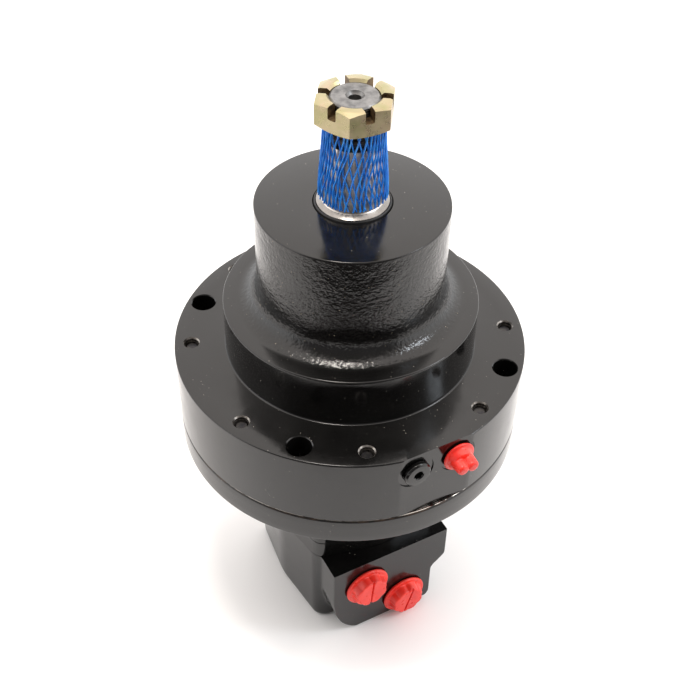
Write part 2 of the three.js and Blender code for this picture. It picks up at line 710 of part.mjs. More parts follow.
const DISC_PITCH = DISC_THICKNESS + GAP;

function addBrakeDiscs() {
  const inner = prism(splineSlots(HUB_SPLINE), -1, DISC_THICKNESS + 1);
  const frictionDisc = geometryOf(rod(55, 0, DISC_THICKNESS, 0, 0, INNER).subtract(inner));
  const lugs = onCircle(CAVITY_RADIUS - 0.2, LOCK_LUGS, 0)
    .map(({ x, y }) => rod(3.6, 0, DISC_THICKNESS, x, y, SMALL_HOLE));
  const plate = geometryOf(joinAll([ring(PISTON_BORE, CAVITY_RADIUS - 0.2, 0, DISC_THICKNESS), ...lugs]));
  for (let i = 0; i < DISC_PAIRS; i += 1) {
    const discBase = CAVITY_TOP - (2 * i + 1) * DISC_PITCH;
    addPiece(`friction_disc_${i + 1}`, frictionDisc, friction).position.set(0, 0, discBase);
    addPiece(`separator_plate_${i + 1}`, plate, steel).position.set(0, 0, discBase - DISC_PITCH);
  }
}

const OUTER_SEAL = { low: 169, high: 173 };
const NECK_SEAL = { low: 186.2, high: 189.4 };
const SEAL_DEPTH = 3;

function brakePiston() {
  const outer = PISTON_RADIUS - 0.1;
  const neck = PISTON_NECK_RADIUS - 0.1;
  return turned([
    [outer, PISTON_BASE],
    [outer, OUTER_SEAL.low],
    [outer - SEAL_DEPTH, OUTER_SEAL.low],
    [outer - SEAL_DEPTH, OUTER_SEAL.high],
    [outer, OUTER_SEAL.high],
    [outer, PISTON_SHOULDER],
    [neck, PISTON_SHOULDER],
    [neck, NECK_SEAL.low],
    [neck - SEAL_DEPTH, NECK_SEAL.low],
    [neck - SEAL_DEPTH, NECK_SEAL.high],
    [neck, NECK_SEAL.high],
    [neck, PISTON_TOP],
    [PISTON_BORE, PISTON_TOP],
    [PISTON_BORE, PISTON_BASE],
  ]);
}

function pistonSeal(radius, { low, high }) {
  return ring(radius - 0.1 - SEAL_DEPTH + GAP, radius, low + GAP, high - GAP);
}

// A conical disc spring between two heights, standing on its outer or its inner edge
function discSpring(low, high, standsOnOuterEdge) {
  const outer = 68;
  const inner = 42;
  const thickness = 1.9;
  const outerLow = standsOnOuterEdge ? low : high - thickness;
  const innerLow = standsOnOuterEdge ? high - thickness : low;
  return turned([
    [outer, outerLow],
    [outer, outerLow + thickness],
    [inner, innerLow + thickness],
    [inner, innerLow],
  ]);
}

// Port fittings

// The plug in the left-hand brake port: a round head with a hexagon socket
function brakePortPlug() {
  const seat = RIM_FLAT - SPOTFACE_DEPTH + GAP;
  const head = seat + 3.4;
  const socket = geometryOf(prism(regularPolygon(6, 4.8), head - 5, head + 1))
    .rotateX(Math.PI / 2)
    .translate(-BRAKE_PORT_OFFSET, 0, BRAKE_PORT_HEIGHT);
  return joinAll([
    crossRod(BRAKE_PORT_RADIUS - GAP, RIM_FLAT - 11, seat + 1, -BRAKE_PORT_OFFSET, BRAKE_PORT_HEIGHT),
    crossRod(7.6, seat, head, -BRAKE_PORT_OFFSET, BRAKE_PORT_HEIGHT, INNER),
  ]).subtract(solid(socket));
}

// The shipping cap in the right-hand brake port: a flange and a tapered body with a two-lobed grip
function brakePortCap() {
  const seat = RIM_FLAT + GAP;
  const flangeFront = seat + 1.8;
  const bodyFront = flangeFront + 4.8;
  const gripEnd = flangeFront + 9.4;
  const x = BRAKE_PORT_OFFSET;
  const z = BRAKE_PORT_HEIGHT;
  const body = new THREE.CylinderGeometry(7, 5.4, bodyFront - flangeFront + 0.5, INNER)
    .translate(x, -(flangeFront - 0.5 + bodyFront) / 2, z);
  return joinAll([
    crossRod(BRAKE_PORT_RADIUS - GAP, RIM_FLAT - 8, seat + 1, x, z),
    crossRod(9.1, seat, flangeFront, x, z, INNER),
    solid(body),
    crossRod(2.9, bodyFront - 1, gripEnd, x - 2.5, z),
    crossRod(2.9, bodyFront - 1, gripEnd, x + 2.5, z),
  ]);
}

// A shipping plug for a pressure port: threaded stem, flange and a slotted eight-sided grip
function portPlug({ x, z }) {
  const seat = PORT_FACE + GAP;
  const flangeFront = seat + 2;
  const gripEnd = flangeFront + 5.6;
  const grip = new THREE.CylinderGeometry(11.6, 9.8, gripEnd - flangeFront + 0.5, 8, 1);
  grip.rotateY(Math.PI / 8).translate(x, -(flangeFront - 0.5 + gripEnd) / 2, z);
  return joinAll([
    crossRod(PORT_BORE_RADIUS - GAP, PORT_FACE - 11, seat + 1, x, z, INNER),
    crossRod(14.4, seat, flangeFront, x, z, MIDDLE),
    solid(grip),
  ]).subtract(block(1.2, 3, 30, x, -gripEnd, z));
}

// The whole motor

addPiece('brake_housing', brakeHousing(), black);
addPiece('cover_plate', coverPlate(), black);
addPiece('cover_seal', ring(
  COVER_SEAL_INNER + GAP, COVER_SEAL_OUTER - GAP, COVER_TOP - 2.3, COVER_TOP, LARGE,
), rubber);
addCoverScrews();

addPiece('motor_front_housing', motorFrontHousing(), black);
addPiece('motor_seal', ring(
  MOTOR_SEAL_INNER + GAP, MOTOR_SEAL_OUTER - GAP, COVER_BASE - GAP - 2.3, COVER_BASE - GAP,
), rubber);
addPiece('wear_plate', motorSection(MOTOR_RADIUS, 17, RING_TOP + GAP, WEAR_PLATE_TOP), black);
addPiece('geroler_ring', gerolerRing(), black);
addPiece('valve_plate', valvePlate(), black);
addPiece('valve_housing', valveHousing(), black);
addMotorBolts();

const rotorGroup = new THREE.Group();
rotorGroup.position.set(STAR_CENTRE_X, 0, 0);
motor.add(rotorGroup);
addPiece('rotor_star', rotorStar(), hardSteel, rotorGroup);
addPiece('drive_spacer', driveSpacer(), hardSteel, rotorGroup);
addRollers();
addPiece('disc_valve', discValve(), ironFinish);
addPiece('balance_ring', ring(20, 31.5, 37.8, DISC_VALVE_BASE - GAP), ironFinish);
addPiece('balance_spring', balanceSpring(), steel);
addDriveLink();
addValveDrive();

addPiece('output_shaft', outputShaft(), steel);
addTaperedBearing('rear_bearing', 211, 232, REAR_SEAT_RADIUS + GAP, 42.5, false);
addTaperedBearing('front_bearing', 254, 272, FRONT_SEAT_RADIUS + GAP, 40, true);
addPiece('bearing_retainer', ring(FRONT_SEAT_RADIUS + GAP, 25.6, 272.6, 275), steel);
addPiece('shaft_seal', ring(JOURNAL_RADIUS + GAP, 26.7, 277.8, 285.9), rubber);
addPiece('dust_seal', ring(JOURNAL_RADIUS + GAP, 20, 286.4, 289.2), rubber);
addPiece('castle_nut', castleNut(), zinc);
addPiece('thread_sleeve', threadSleeve(), bluePlastic);

addBrakeDiscs();
addPiece('brake_piston', brakePiston(), ironFinish);
addPiece('piston_seal', pistonSeal(PISTON_RADIUS, OUTER_SEAL), rubber);
addPiece('piston_neck_seal', pistonSeal(PISTON_NECK_RADIUS, NECK_SEAL), rubber);
addPiece('lower_disc_spring', discSpring(COVER_TOP + GAP, 156, true), steel);
addPiece('upper_disc_spring', discSpring(156.3, PISTON_BASE - GAP, false), steel);

addPiece('brake_port_plug', brakePortPlug(), black);
addPiece('brake_port_cap', brakePortCap(), redPlastic);
addPiece('upper_port_plug', portPlug(UPPER_PORT), redPlastic);
addPiece('lower_port_plug', portPlug(LOWER_PORT), redPlastic);

export default motor;
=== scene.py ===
import json
import math

import bmesh
import bpy
from mathutils import Matrix, Vector, noise


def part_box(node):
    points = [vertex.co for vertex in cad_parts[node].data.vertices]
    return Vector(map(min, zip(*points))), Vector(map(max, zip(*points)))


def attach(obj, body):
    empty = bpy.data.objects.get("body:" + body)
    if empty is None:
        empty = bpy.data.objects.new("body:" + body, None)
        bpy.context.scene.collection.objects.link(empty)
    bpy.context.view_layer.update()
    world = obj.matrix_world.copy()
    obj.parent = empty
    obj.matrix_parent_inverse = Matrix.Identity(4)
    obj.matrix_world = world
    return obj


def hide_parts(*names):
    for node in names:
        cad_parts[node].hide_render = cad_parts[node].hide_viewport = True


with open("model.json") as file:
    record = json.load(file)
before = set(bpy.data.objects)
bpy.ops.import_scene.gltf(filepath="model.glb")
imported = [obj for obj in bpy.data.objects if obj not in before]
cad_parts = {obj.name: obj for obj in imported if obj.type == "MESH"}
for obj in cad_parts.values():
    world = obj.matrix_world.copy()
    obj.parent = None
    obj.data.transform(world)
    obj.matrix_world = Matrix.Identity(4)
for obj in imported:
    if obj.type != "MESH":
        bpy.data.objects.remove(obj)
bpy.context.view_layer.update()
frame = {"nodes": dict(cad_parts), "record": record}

MM = 0.001

# Places and sizes that the frame gives
housing_low, housing_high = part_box("brake_housing")
cover_low, cover_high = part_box("cover_plate")
nut_low, nut_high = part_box("castle_nut")
sleeve_low, sleeve_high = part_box("thread_sleeve")
shaft_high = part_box("output_shaft")[1]
valve_low, valve_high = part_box("valve_housing")
brake_plug_low, brake_plug_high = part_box("brake_port_plug")

FLANGE_RADIUS = cover_high.x
NOSE_TOP = housing_high.z
HOUSING_BASE = housing_low.z
RIM_FLAT = -housing_low.y
PORT_FACE = -valve_low.y
SHAFT_END = shaft_high.z
BRAKE_PORT_X = -(brake_plug_low.x + brake_plug_high.x) / 2
BRAKE_PORT_Z = (brake_plug_low.z + brake_plug_high.z) / 2

# Turned sizes of the brake housing, in metres
FLANGE_TOP = 196 * MM
PILOT_RADIUS = 69.85 * MM
PILOT_TOP = 226.4 * MM
NOSE_RADIUS = 50.8 * MM
NOSE_BORE = 20.3 * MM
NOSE_FILLET = 12 * MM
JOURNAL_RADIUS = 19.05 * MM
BOLT_CIRCLE = 88.9 * MM
MOTOR_BOLT_CIRCLE = 49 * MM
MOTOR_RADIUS = 50 * MM
VALVE_HOUSING_RADIUS = 47 * MM
LOBE_RADIUS = 8.6 * MM

MOUNT_HOLE = 6.7 * MM
TAPPED_HOLE = 3.95 * MM
MOTOR_BOLT_HOLE = 4.3 * MM
SPOTFACE_RADIUS = 10.5 * MM
SPOTFACE_DEPTH = 0.6 * MM
PORT_BORE = 10.2 * MM
BRAKE_PORT_BORE = 5 * MM

ROUND = 192  # facets round the large turned pieces
MEDIUM = 96
SMALL = 48
OVER = MM  # how far a cutter reaches past the faces it goes through


# Mesh helpers

def finish_mesh(name, bm, materials, sharp_angle=32):
    """Turns a bmesh into an object, smooth except over its sharp edges."""
    bmesh.ops.remove_doubles(bm, verts=bm.verts, dist=1e-6)
    bmesh.ops.recalc_face_normals(bm, faces=bm.faces)
    for face in bm.faces:
        face.smooth = True
    limit = math.radians(sharp_angle)
    for edge in bm.edges:
        edge.smooth = len(edge.link_faces) == 2 and edge.calc_face_angle(0) < limit
    mesh = bpy.data.meshes.new(name)
    bm.to_mesh(mesh)
    bm.free()
    for material in materials:
        mesh.materials.append(material)
    obj = bpy.data.objects.new(name, mesh)
    bpy.context.scene.collection.objects.link(obj)
    return obj


def place(obj, body, slot, *nodes):
    """The piece rides its body and stands for the CAD nodes, which it hides. The slot argument is not used.
    """
    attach(obj, body)
    if nodes:
        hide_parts(*nodes)
    return obj


def arc(centre, radius, start, end, steps):
    """Points of an arc from one angle to another, in degrees, ends included."""
    points = []
    for i in range(steps + 1):
        angle = math.radians(start + (end - start) * i / steps)
        points.append((centre[0] + radius * math.cos(angle), centre[1] + radius * math.sin(angle)))
    return points


def softened(points, radius, steps=3):
    """The closed outline with each corner replaced by a small curve of about that radius."""
    result = []
    count = len(points)
    for i, corner in enumerate(points):
        corner = Vector(corner)
        before = Vector(points[i - 1]) - corner
        after = Vector(points[(i + 1) % count]) - corner
        if before.length < 1e-7 or after.length < 1e-7:
            continue
        straight = before.normalized().dot(after.normalized()) < -0.97
        if straight or abs(corner.x) < 1e-9:
            result.append(tuple(corner))
            continue
        reach = min(radius, 0.45 * before.length, 0.45 * after.length)
        start = corner + before.normalized() * reach
        end = corner + after.normalized() * reach
        for k in range(steps + 1):
            t = k / steps
            point = start * (1 - t) ** 2 + corner * (2 * t * (1 - t)) + end * t ** 2
            result.append(tuple(point))
    return result


def lathe(outline, segments=ROUND, centre=(0, 0), wobble=None):
    """A closed (radius, height) outline turned about Z. wobble changes the radius by angle and height."""
    bm = bmesh.new()
    loops = []
    for radius, height in outline:
        if radius < 1e-9:
            loops.append([bm.verts.new((centre[0], centre[1], height))])
            continue
        loop = []
        for k in range(segments):
            angle = 2 * math.pi * k / segments
            reach = radius + (wobble(angle, radius, height) if wobble else 0)
            loop.append(bm.verts.new((
                centre[0] + reach * math.cos(angle), centre[1] + reach * math.sin(angle), height)))
        loops.append(loop)
    for i, loop in enumerate(loops):
        following = loops[(i + 1) % len(loops)]
        if len(loop) == 1 and len(following) == 1:
            continue
        for k in range(segments):
            n = (k + 1) % segments
            corners = [loop[k % len(loop)], loop[n % len(loop)],
                       following[n % len(following)], following[k % len(following)]]
            bm.faces.new(list(dict.fromkeys(corners)))
    return bm


def round_cut(radius, low, high, x=0, y=0, segments=32):
    return lathe([(0, low), (radius, low), (radius, high), (0, high)], segments, (x, y))


def prism(points, low, high):
    """A flat outline pushed up along Z."""
    bm = bmesh.new()
    base = [bm.verts.new((x, y, low)) for x, y in points]
    top = [bm.verts.new((x, y, high)) for x, y in points]
    bm.faces.new(list(reversed(base)))
    bm.faces.new(top)
    for i in range(len(points)):
        n = (i + 1) % len(points)
        bm.faces.new((base[i], base[n], top[n], top[i]))
    bmesh.ops.recalc_face_normals(bm, faces=bm.faces)
    return bm


def box_mesh(size, centre):
    bm = bmesh.new()
    bmesh.ops.create_cube(bm, size=1)
    bmesh.ops.scale(bm, vec=size, verts=bm.verts)
    bmesh.ops.translate(bm, vec=centre, verts=bm.verts)
    return bm


def polygon(sides, across_flats, turn=0):
    corner = across_flats / 2 / math.cos(math.pi / sides)
    return [(corner * math.cos(turn + 2 * math.pi * i / sides),
             corner * math.sin(turn + 2 * math.pi * i / sides)) for i in range(sides)]


def facing_front(bm, x, z, base):
    """Stands a mesh made about Z on a face that looks along -Y: its height becomes the distance out."""
    turn = Matrix.Rotation(math.radians(90), 4, "X")
    bmesh.ops.transform(bm, matrix=Matrix.Translation((x, -base, z)) @ turn, verts=bm.verts)
    return bm


def boolean(bm, tool, operation="DIFFERENCE"):
    """The exact boolean of two meshes. Both are used up."""
    objects = []
    for name, source in (("base", bm), ("tool", tool)):
        bmesh.ops.recalc_face_normals(source, faces=source.faces)
        mesh = bpy.data.meshes.new(name)
        source.to_mesh(mesh)
        source.free()
        obj = bpy.data.objects.new(name, mesh)
        bpy.context.scene.collection.objects.link(obj)
        objects.append(obj)
    modifier = objects[0].modifiers.new("cut", "BOOLEAN")
    modifier.operation = operation
    modifier.solver = "EXACT"
    modifier.object = objects[1]
    result = evaluated(objects[0])
    for obj in objects:
        bpy.data.meshes.remove(obj.data)
    return result


def evaluated(obj):
    """A bmesh of the object with its modifiers applied."""
    graph = bpy.context.evaluated_depsgraph_get()
    mesh = bpy.data.meshes.new_from_object(obj.evaluated_get(graph))
    bm = bmesh.new()
    bm.from_mesh(mesh)
    bpy.data.meshes.remove(mesh)
    return bm


def remeshed(bm, voxel, smoothing):
    """One even skin over the mesh, with its edges softened."""
    bmesh.ops.recalc_face_normals(bm, faces=bm.faces)
    mesh = bpy.data.meshes.new("rough")
    bm.to_mesh(mesh)
    bm.free()
    obj = bpy.data.objects.new("rough", mesh)
    bpy.context.scene.collection.objects.link(obj)
    remesh = obj.modifiers.new("skin", "REMESH")
    remesh.mode = "VOXEL"
    remesh.voxel_size = voxel
    smooth = obj.modifiers.new("soft", "SMOOTH")
    smooth.factor = 0.5
    smooth.iterations = smoothing
    result = evaluated(obj)
    bpy.data.meshes.remove(mesh)
    return result


def on_circle(radius, count, start):
    """Places on a circle, the first at an angle in degrees."""
    return [(radius * math.cos(math.radians(start + 360 * i / count)),
             radius * math.sin(math.radians(start + 360 * i / count))) for i in range(count)]


def in_metres(points):
    """An outline given in millimetres."""
    return [(x * MM, y * MM) for x, y in points]


def finish_faces(obj, materials, material_of):
    """Gives each face the one of the object's materials that material_of returns for it."""
    for face in obj.data.polygons:
        face.material_index = materials.index(material_of(face))


MOUNT_PLACES = on_circle(BOLT_CIRCLE, 4, 45)
TAPPED_PLACES = on_circle(BOLT_CIRCLE, 8, 22.5)
MOTOR_BOLT_PLACES = on_circle(MOTOR_BOLT_CIRCLE, 4, 45)


# Material helpers

class Surface:
    """A Principled material with textures in the object's own coordinates."""

    def __init__(self, name, color, roughness, metallic=0.0):
        self.material = bpy.data.materials.new(name)
        self.material.use_nodes = True
        self.nodes = self.material.node_tree.nodes
        self.links = self.material.node_tree.links
        self.shader = self.nodes["Principled BSDF"]
        self.shader.inputs["Base Color"].default_value = (*color, 1)
        self.shader.inputs["Roughness"].default_value = roughness
        self.shader.inputs["Metallic"].default_value = metallic
        self.place = self.nodes.new("ShaderNodeTexCoord").outputs["Object"]
        self.normal = None

    def noise(self, scale, detail=3.0, roughness=0.55, stretch=None):
        texture = self.nodes.new("ShaderNodeTexNoise")
        texture.inputs["Scale"].default_value = scale
        texture.inputs["Detail"].default_value = detail
        texture.inputs["Roughness"].default_value = roughness
        self.links.new(self.stretched(stretch), texture.inputs["Vector"])
        return texture.outputs["Fac"]

    def stretched(self, stretch):
        if stretch is None:
            return self.place
        mapping = self.nodes.new("ShaderNodeMapping")
        mapping.inputs["Scale"].default_value = stretch
        self.links.new(self.place, mapping.inputs["Vector"])
        return mapping.outputs["Vector"]

    def cells(self, scale):
        texture = self.nodes.new("ShaderNodeTexVoronoi")
        texture.inputs["Scale"].default_value = scale
        self.links.new(self.place, texture.inputs["Vector"])
        return texture.outputs["Distance"]

    def rings(self, scale):
        """Fine rings about Z, like a turning tool's path."""
        texture = self.nodes.new("ShaderNodeTexWave")
        texture.wave_type = "RINGS"
        texture.rings_direction = "Z"
        texture.inputs["Scale"].default_value = scale
        texture.inputs["Distortion"].default_value = 1.5
        texture.inputs["Detail"].default_value = 2
        self.links.new(self.place, texture.inputs["Vector"])
        return texture.outputs["Fac"]

    def ranged(self, value, low, high, to_low, to_high):
        node = self.nodes.new("ShaderNodeMapRange")
        node.inputs["From Min"].default_value = low
        node.inputs["From Max"].default_value = high
        node.inputs["To Min"].default_value = to_low
        node.inputs["To Max"].default_value = to_high
        self.links.new(value, node.inputs["Value"])
        return node.outputs["Result"]

    def times(self, first, second):
        node = self.nodes.new("ShaderNodeMath")
        node.operation = "MULTIPLY"
        self.links.new(first, node.inputs[0])
        self.links.new(second, node.inputs[1])
        return node.outputs["Value"]

    def bump(self, height, distance, strength=1.0):
        node = self.nodes.new("ShaderNodeBump")
        node.inputs["Distance"].default_value = distance
        node.inputs["Strength"].default_value = strength
        self.links.new(height, node.inputs["Height"])
        if self.normal is not None:
            self.links.new(self.normal, node.inputs["Normal"])
        self.normal = node.outputs["Normal"]
        self.links.new(self.normal, self.shader.inputs["Normal"])

    def mixed_color(self, amount, first, second):
        """Base colour between two colours. With None first, it starts from the colour made so far."""
        node = self.nodes.new("ShaderNodeMix")
        node.data_type = "RGBA"
        base = self.shader.inputs["Base Color"]
        if first is None:
            self.links.new(base.links[0].from_socket, node.inputs["A"])
        else:
            node.inputs["A"].default_value = (*first, 1)
        node.inputs["B"].default_value = (*second, 1)
        self.links.new(amount, node.inputs["Factor"])
        self.links.new(node.outputs["Result"], base)

    def clouds(self, scale, detail, first, second, low=0.35, high=0.7, amount=1, stretch=None):
        """Patches of the second colour where the noise rises from low to high."""
        patches = self.ranged(self.noise(scale, detail, stretch=stretch), low, high, 0, amount)
        self.mixed_color(patches, first, second)

    def uneven_roughness(self, scale, detail, smooth, rough, high=0.7):
        value = self.ranged(self.noise(scale, detail), 0.3, high, smooth, rough)
        self.links.new(value, self.shader.inputs["Roughness"])


PAINT_COLOR = (0.0035, 0.0034, 0.0033)


def add_dust(surface, color, density=0.06):
    """Scattered specks of dust lying on the paint."""
    spots = surface.ranged(surface.cells(430), 0.06, 0.11, 1, 0)
    patches = surface.ranged(surface.noise(160, 3), 0.60 - density, 0.66, 0, 1)
    surface.mixed_color(surface.times(spots, patches), None, color)


def machined_paint():
    """Gloss enamel over machined iron: flow, faint tool marks and dust."""
    surface = Surface("machined_black_enamel", PAINT_COLOR, 0.16)
    surface.clouds(30, 3, PAINT_COLOR, (0.006, 0.0058, 0.0055))
    add_dust(surface, (0.42, 0.39, 0.33))
    surface.uneven_roughness(90, 5, 0.10, 0.22, 0.75)
    surface.bump(surface.noise(60, 2), 0.00012, 0.35)
    surface.bump(surface.noise(900, 3), 0.00003, 0.35)
    return surface.material


def cast_paint():
    """Gloss enamel over a sand casting: deep orange peel with pits."""
    surface = Surface("cast_black_enamel", PAINT_COLOR, 0.14)
    surface.clouds(40, 3, PAINT_COLOR, (0.007, 0.0066, 0.0062), 0.4, 0.75)
    add_dust(surface, (0.5, 0.42, 0.3), 0.08)
    surface.uneven_roughness(120, 4, 0.05, 0.11, 0.75)
    surface.bump(surface.noise(520, 2), 0.0005, 0.6)
    surface.bump(surface.noise(1300, 3, 0.6), 0.00015, 0.4)
    surface.bump(surface.ranged(surface.cells(500), 0.0, 0.4, 0, 1), 0.00015, 0.35)
    return surface.material


def ledge_with_painted_sheen():
    """The strip of the cover's top that the rim flat leaves open: bare metal with turning lines, their
    bright and dark banding painted into the colour as sheen.
    """
    surface = Surface("bare_turned_ledge_painted_sheen", (0.24, 0.22, 0.20), 0.34, 1.0)
    rings = surface.rings(330)
    lines = surface.times(rings, surface.ranged(surface.noise(130, 3), 0.4, 0.6, 0.2, 1))
    # The turning lines are painted as dark and bright rings in the colour: painted sheen over the real tool
    # marks in the bump.
    surface.mixed_color(surface.ranged(lines, 0.25, 0.6, 0, 1), (0.035, 0.03, 0.027), (0.62, 0.58, 0.53))
    surface.bump(rings, 0.00006, 0.6)
    return surface.material


def turned_steel(name, color, roughness):
    """Bright turned steel: fine rings round Z and a thin uneven oil film."""
    surface = Surface(name, color, roughness, 1.0)
    dark = tuple(0.55 * part for part in color)
    surface.clouds(140, 5, color, dark, 0.35, 0.75, 0.7)
    surface.uneven_roughness(260, 4, roughness * 0.7, roughness * 1.5)
    surface.bump(surface.noise(2600, 2, stretch=(0.02, 0.02, 1)), 0.00002, 0.5)
    return surface.material


def zinc_plating():
    """Yellow chromate over machined steel: dull gold with faint pink and green shifts."""
    surface = Surface("yellow_zinc_plating", (0.37, 0.33, 0.18), 0.3, 0.9)
    surface.clouds(70, 2, (0.42, 0.355, 0.22), (0.35, 0.32, 0.17), 0.42, 0.58)
    surface.clouds(130, 3, None, (0.47, 0.33, 0.25), 0.54, 0.68, 0.5)
    surface.uneven_roughness(240, 4, 0.24, 0.36)
    surface.bump(surface.noise(260, 2), 0.00003, 0.3)
    return surface.material


def slot_walls():
    """The nut's sawn slots: olive-brown stain over the milled metal."""
    surface = Surface("stained_zinc", (0.16, 0.10, 0.045), 0.5, 0.6)
    surface.clouds(300, 4, (0.17, 0.11, 0.048), (0.05, 0.03, 0.015), 0.4, 0.65)
    surface.bump(surface.noise(900, 2, stretch=(1, 1, 0.1)), 0.00006, 0.5)
    return surface.material


def moulded_red():
    """Glossy soft polyethylene with slight sink marks."""
    surface = Surface("red_polyethylene", (0.84, 0.030, 0.018), 0.32)
    surface.shader.inputs["Subsurface Weight"].default_value = 0.25
    surface.shader.inputs["Subsurface Radius"].default_value = (0.004, 0.0008, 0.0005)
    surface.clouds(120, 3, (0.90, 0.040, 0.022), (0.74, 0.018, 0.012))
    surface.uneven_roughness(300, 3, 0.24, 0.42)
    surface.bump(surface.noise(350, 3), 0.0001, 0.3)
    return surface.material


def netting_blue():
    """Stretched polyethylene strands: saturated blue with paler drawn streaks along them."""
    surface = Surface("blue_polyethylene", (0.012, 0.21, 0.74), 0.34)
    surface.shader.inputs["Subsurface Weight"].default_value = 0.2
    surface.shader.inputs["Subsurface Radius"].default_value = (0.0003, 0.0006, 0.0012)
    surface.clouds(500, 4, (0.009, 0.17, 0.68), (0.04, 0.34, 0.88), stretch=(1, 1, 0.25))
    surface.bump(surface.noise(1400, 3, stretch=(1, 1, 0.2)), 0.00005, 0.4)
    return surface.material


def mottled(name, color, roughness, metallic, patches, grain, depth, strength=0.5):
    """Patches of one colour in another, and a fine grain."""
    surface = Surface(name, color, roughness, metallic)
    surface.clouds(*patches)
    surface.bump(surface.noise(*grain), depth, strength)
    return surface.material


def pale_floor():
    """White paper, very slightly uneven."""
    surface = Surface("pale_floor", (0.91, 0.91, 0.91), 0.6)
    surface.clouds(3, 2, (0.92, 0.92, 0.92), (0.90, 0.90, 0.90), 0.3)
    return surface.material


MACHINED = machined_paint()
CAST = cast_paint()
# Paint that has run thin over an edge, with the metal's warm tint showing
WORN = mottled("worn_black_enamel", (0.02, 0.012, 0.008), 0.3, 0.0,
               (160, 4, (0.006, 0.005, 0.0045), (0.05, 0.028, 0.016), 0.45, 0.65), (700, 3), 0.00005)
LEDGE_WITH_PAINTED_SHEEN = ledge_with_painted_sheen()
STEEL = turned_steel("turned_steel", (0.30, 0.285, 0.27), 0.25)
# A lit copy of the turned steel: the taper under the netting is painted brighter than the other steel, as
# painted light.
TAPER_STEEL_PAINTED_LIT = turned_steel("taper_steel_painted_lit", (0.75, 0.70, 0.64), 0.35)
# A shaded copy of the turned steel: the thread under the nut is painted dark, as painted shade.
THREAD_STEEL_PAINTED_SHADE = turned_steel("thread_steel_painted_shade", (0.10, 0.095, 0.09), 0.32)
HARD_STEEL = turned_steel("hardened_steel", (0.46, 0.46, 0.47), 0.2)
SPRING_STEEL = turned_steel("spring_steel", (0.30, 0.30, 0.32), 0.3)
# The sawn and faced end of the shaft: dull mottled grey
FACED = mottled("faced_steel", (0.20, 0.20, 0.20), 0.42, 0.9,
                (220, 5, (0.26, 0.255, 0.25), (0.10, 0.10, 0.10)), (1500, 3), 0.00004)
ZINC = zinc_plating()
STAINED = slot_walls()
RED = moulded_red()
BLUE = netting_blue()
RUBBER = mottled("nitrile_rubber", (0.012, 0.012, 0.013), 0.45, 0.0,
                 (400, 4, (0.010, 0.010, 0.011), (0.03, 0.029, 0.028), 0.3, 0.75), (1500, 4), 0.00004)
# Screws: dark metal with worn brown patches
OXIDE = mottled("black_oxide", (0.03, 0.03, 0.034), 0.34, 0.8,
                (350, 4, (0.024, 0.024, 0.028), (0.075, 0.07, 0.065), 0.35, 0.75), (1200, 3), 0.00003)
# Bare oily thread of the tapped holes, and the same bare metal on their countersunk rims as a painted
# highlight
OILY_THREAD_AND_RIM_HIGHLIGHT = mottled("oily_thread_and_rim_highlight", (0.22, 0.21, 0.20), 0.3, 0.9,
               (600, 4, (0.34, 0.32, 0.30), (0.08, 0.07, 0.06)), (1600, 3), 0.00005)
# Bare ground cast iron of the inner pieces
IRON = mottled("ground_iron", (0.24, 0.235, 0.225), 0.42, 1.0,
               (260, 6, (0.28, 0.27, 0.26), (0.14, 0.135, 0.13)), (1100, 4), 0.00005)
# The brown fibre lining of the brake discs
PAPER = mottled("friction_paper", (0.12, 0.09, 0.065), 0.9, 0.0,
                (900, 5, (0.15, 0.11, 0.08), (0.07, 0.05, 0.035)), (2400, 5), 0.0001, 0.6)


# Camera, light and floor

CAMERA_AZIMUTH = math.radians(-28.9)
CAMERA_ELEVATION = math.radians(42.35)
CAMERA_ROLL = math.radians(1.22)
CAMERA_DISTANCE = 633.9 * MM  # from the middle of the flange's top
CAMERA_LENS = 57.72
CAMERA_SHIFT = -0.0229

ROOM_LIGHT = 2.05
DARK_SIDE_LIGHT = 0.3
DARK_SIDE_ELEVATION = math.radians(16)
DARK_SIDE_CORE = math.radians(42)  # the dark side is darkest within this angle of its middle
DARK_SIDE_EDGE = math.radians(66)
MAT_SIZE = (1600 * MM, 900 * MM, 2 * MM)
MAT_DISTANCE = 300 * MM  # from the motor's axis to the front edge of the white paper


def camera_side(elevation):
    """The direction from the motor towards the camera's side of the room, at some elevation."""
    level = math.cos(elevation)
    return Vector((math.sin(CAMERA_AZIMUTH) * level, -math.cos(CAMERA_AZIMUTH) * level, math.sin(elevation)))


def add_camera():
    """The view from above and a little to the left of the port face."""
    away = camera_side(CAMERA_ELEVATION)
    data = bpy.data.cameras.new("camera")
    data.sensor_width = 36
    data.lens = CAMERA_LENS
    data.shift_y = CAMERA_SHIFT
    data.clip_start = 10 * MM
    camera = bpy.data.objects.new("camera", data)
    camera.location = Vector((0, 0, FLANGE_TOP)) + away * CAMERA_DISTANCE
    roll = Matrix.Rotation(CAMERA_ROLL, 4, "Z")
    facing = (-away).to_track_quat("-Z", "Y").to_matrix().to_4x4() @ roll
    camera.rotation_euler = facing.to_euler()
    bpy.context.scene.collection.objects.link(camera)
    bpy.context.scene.camera = camera


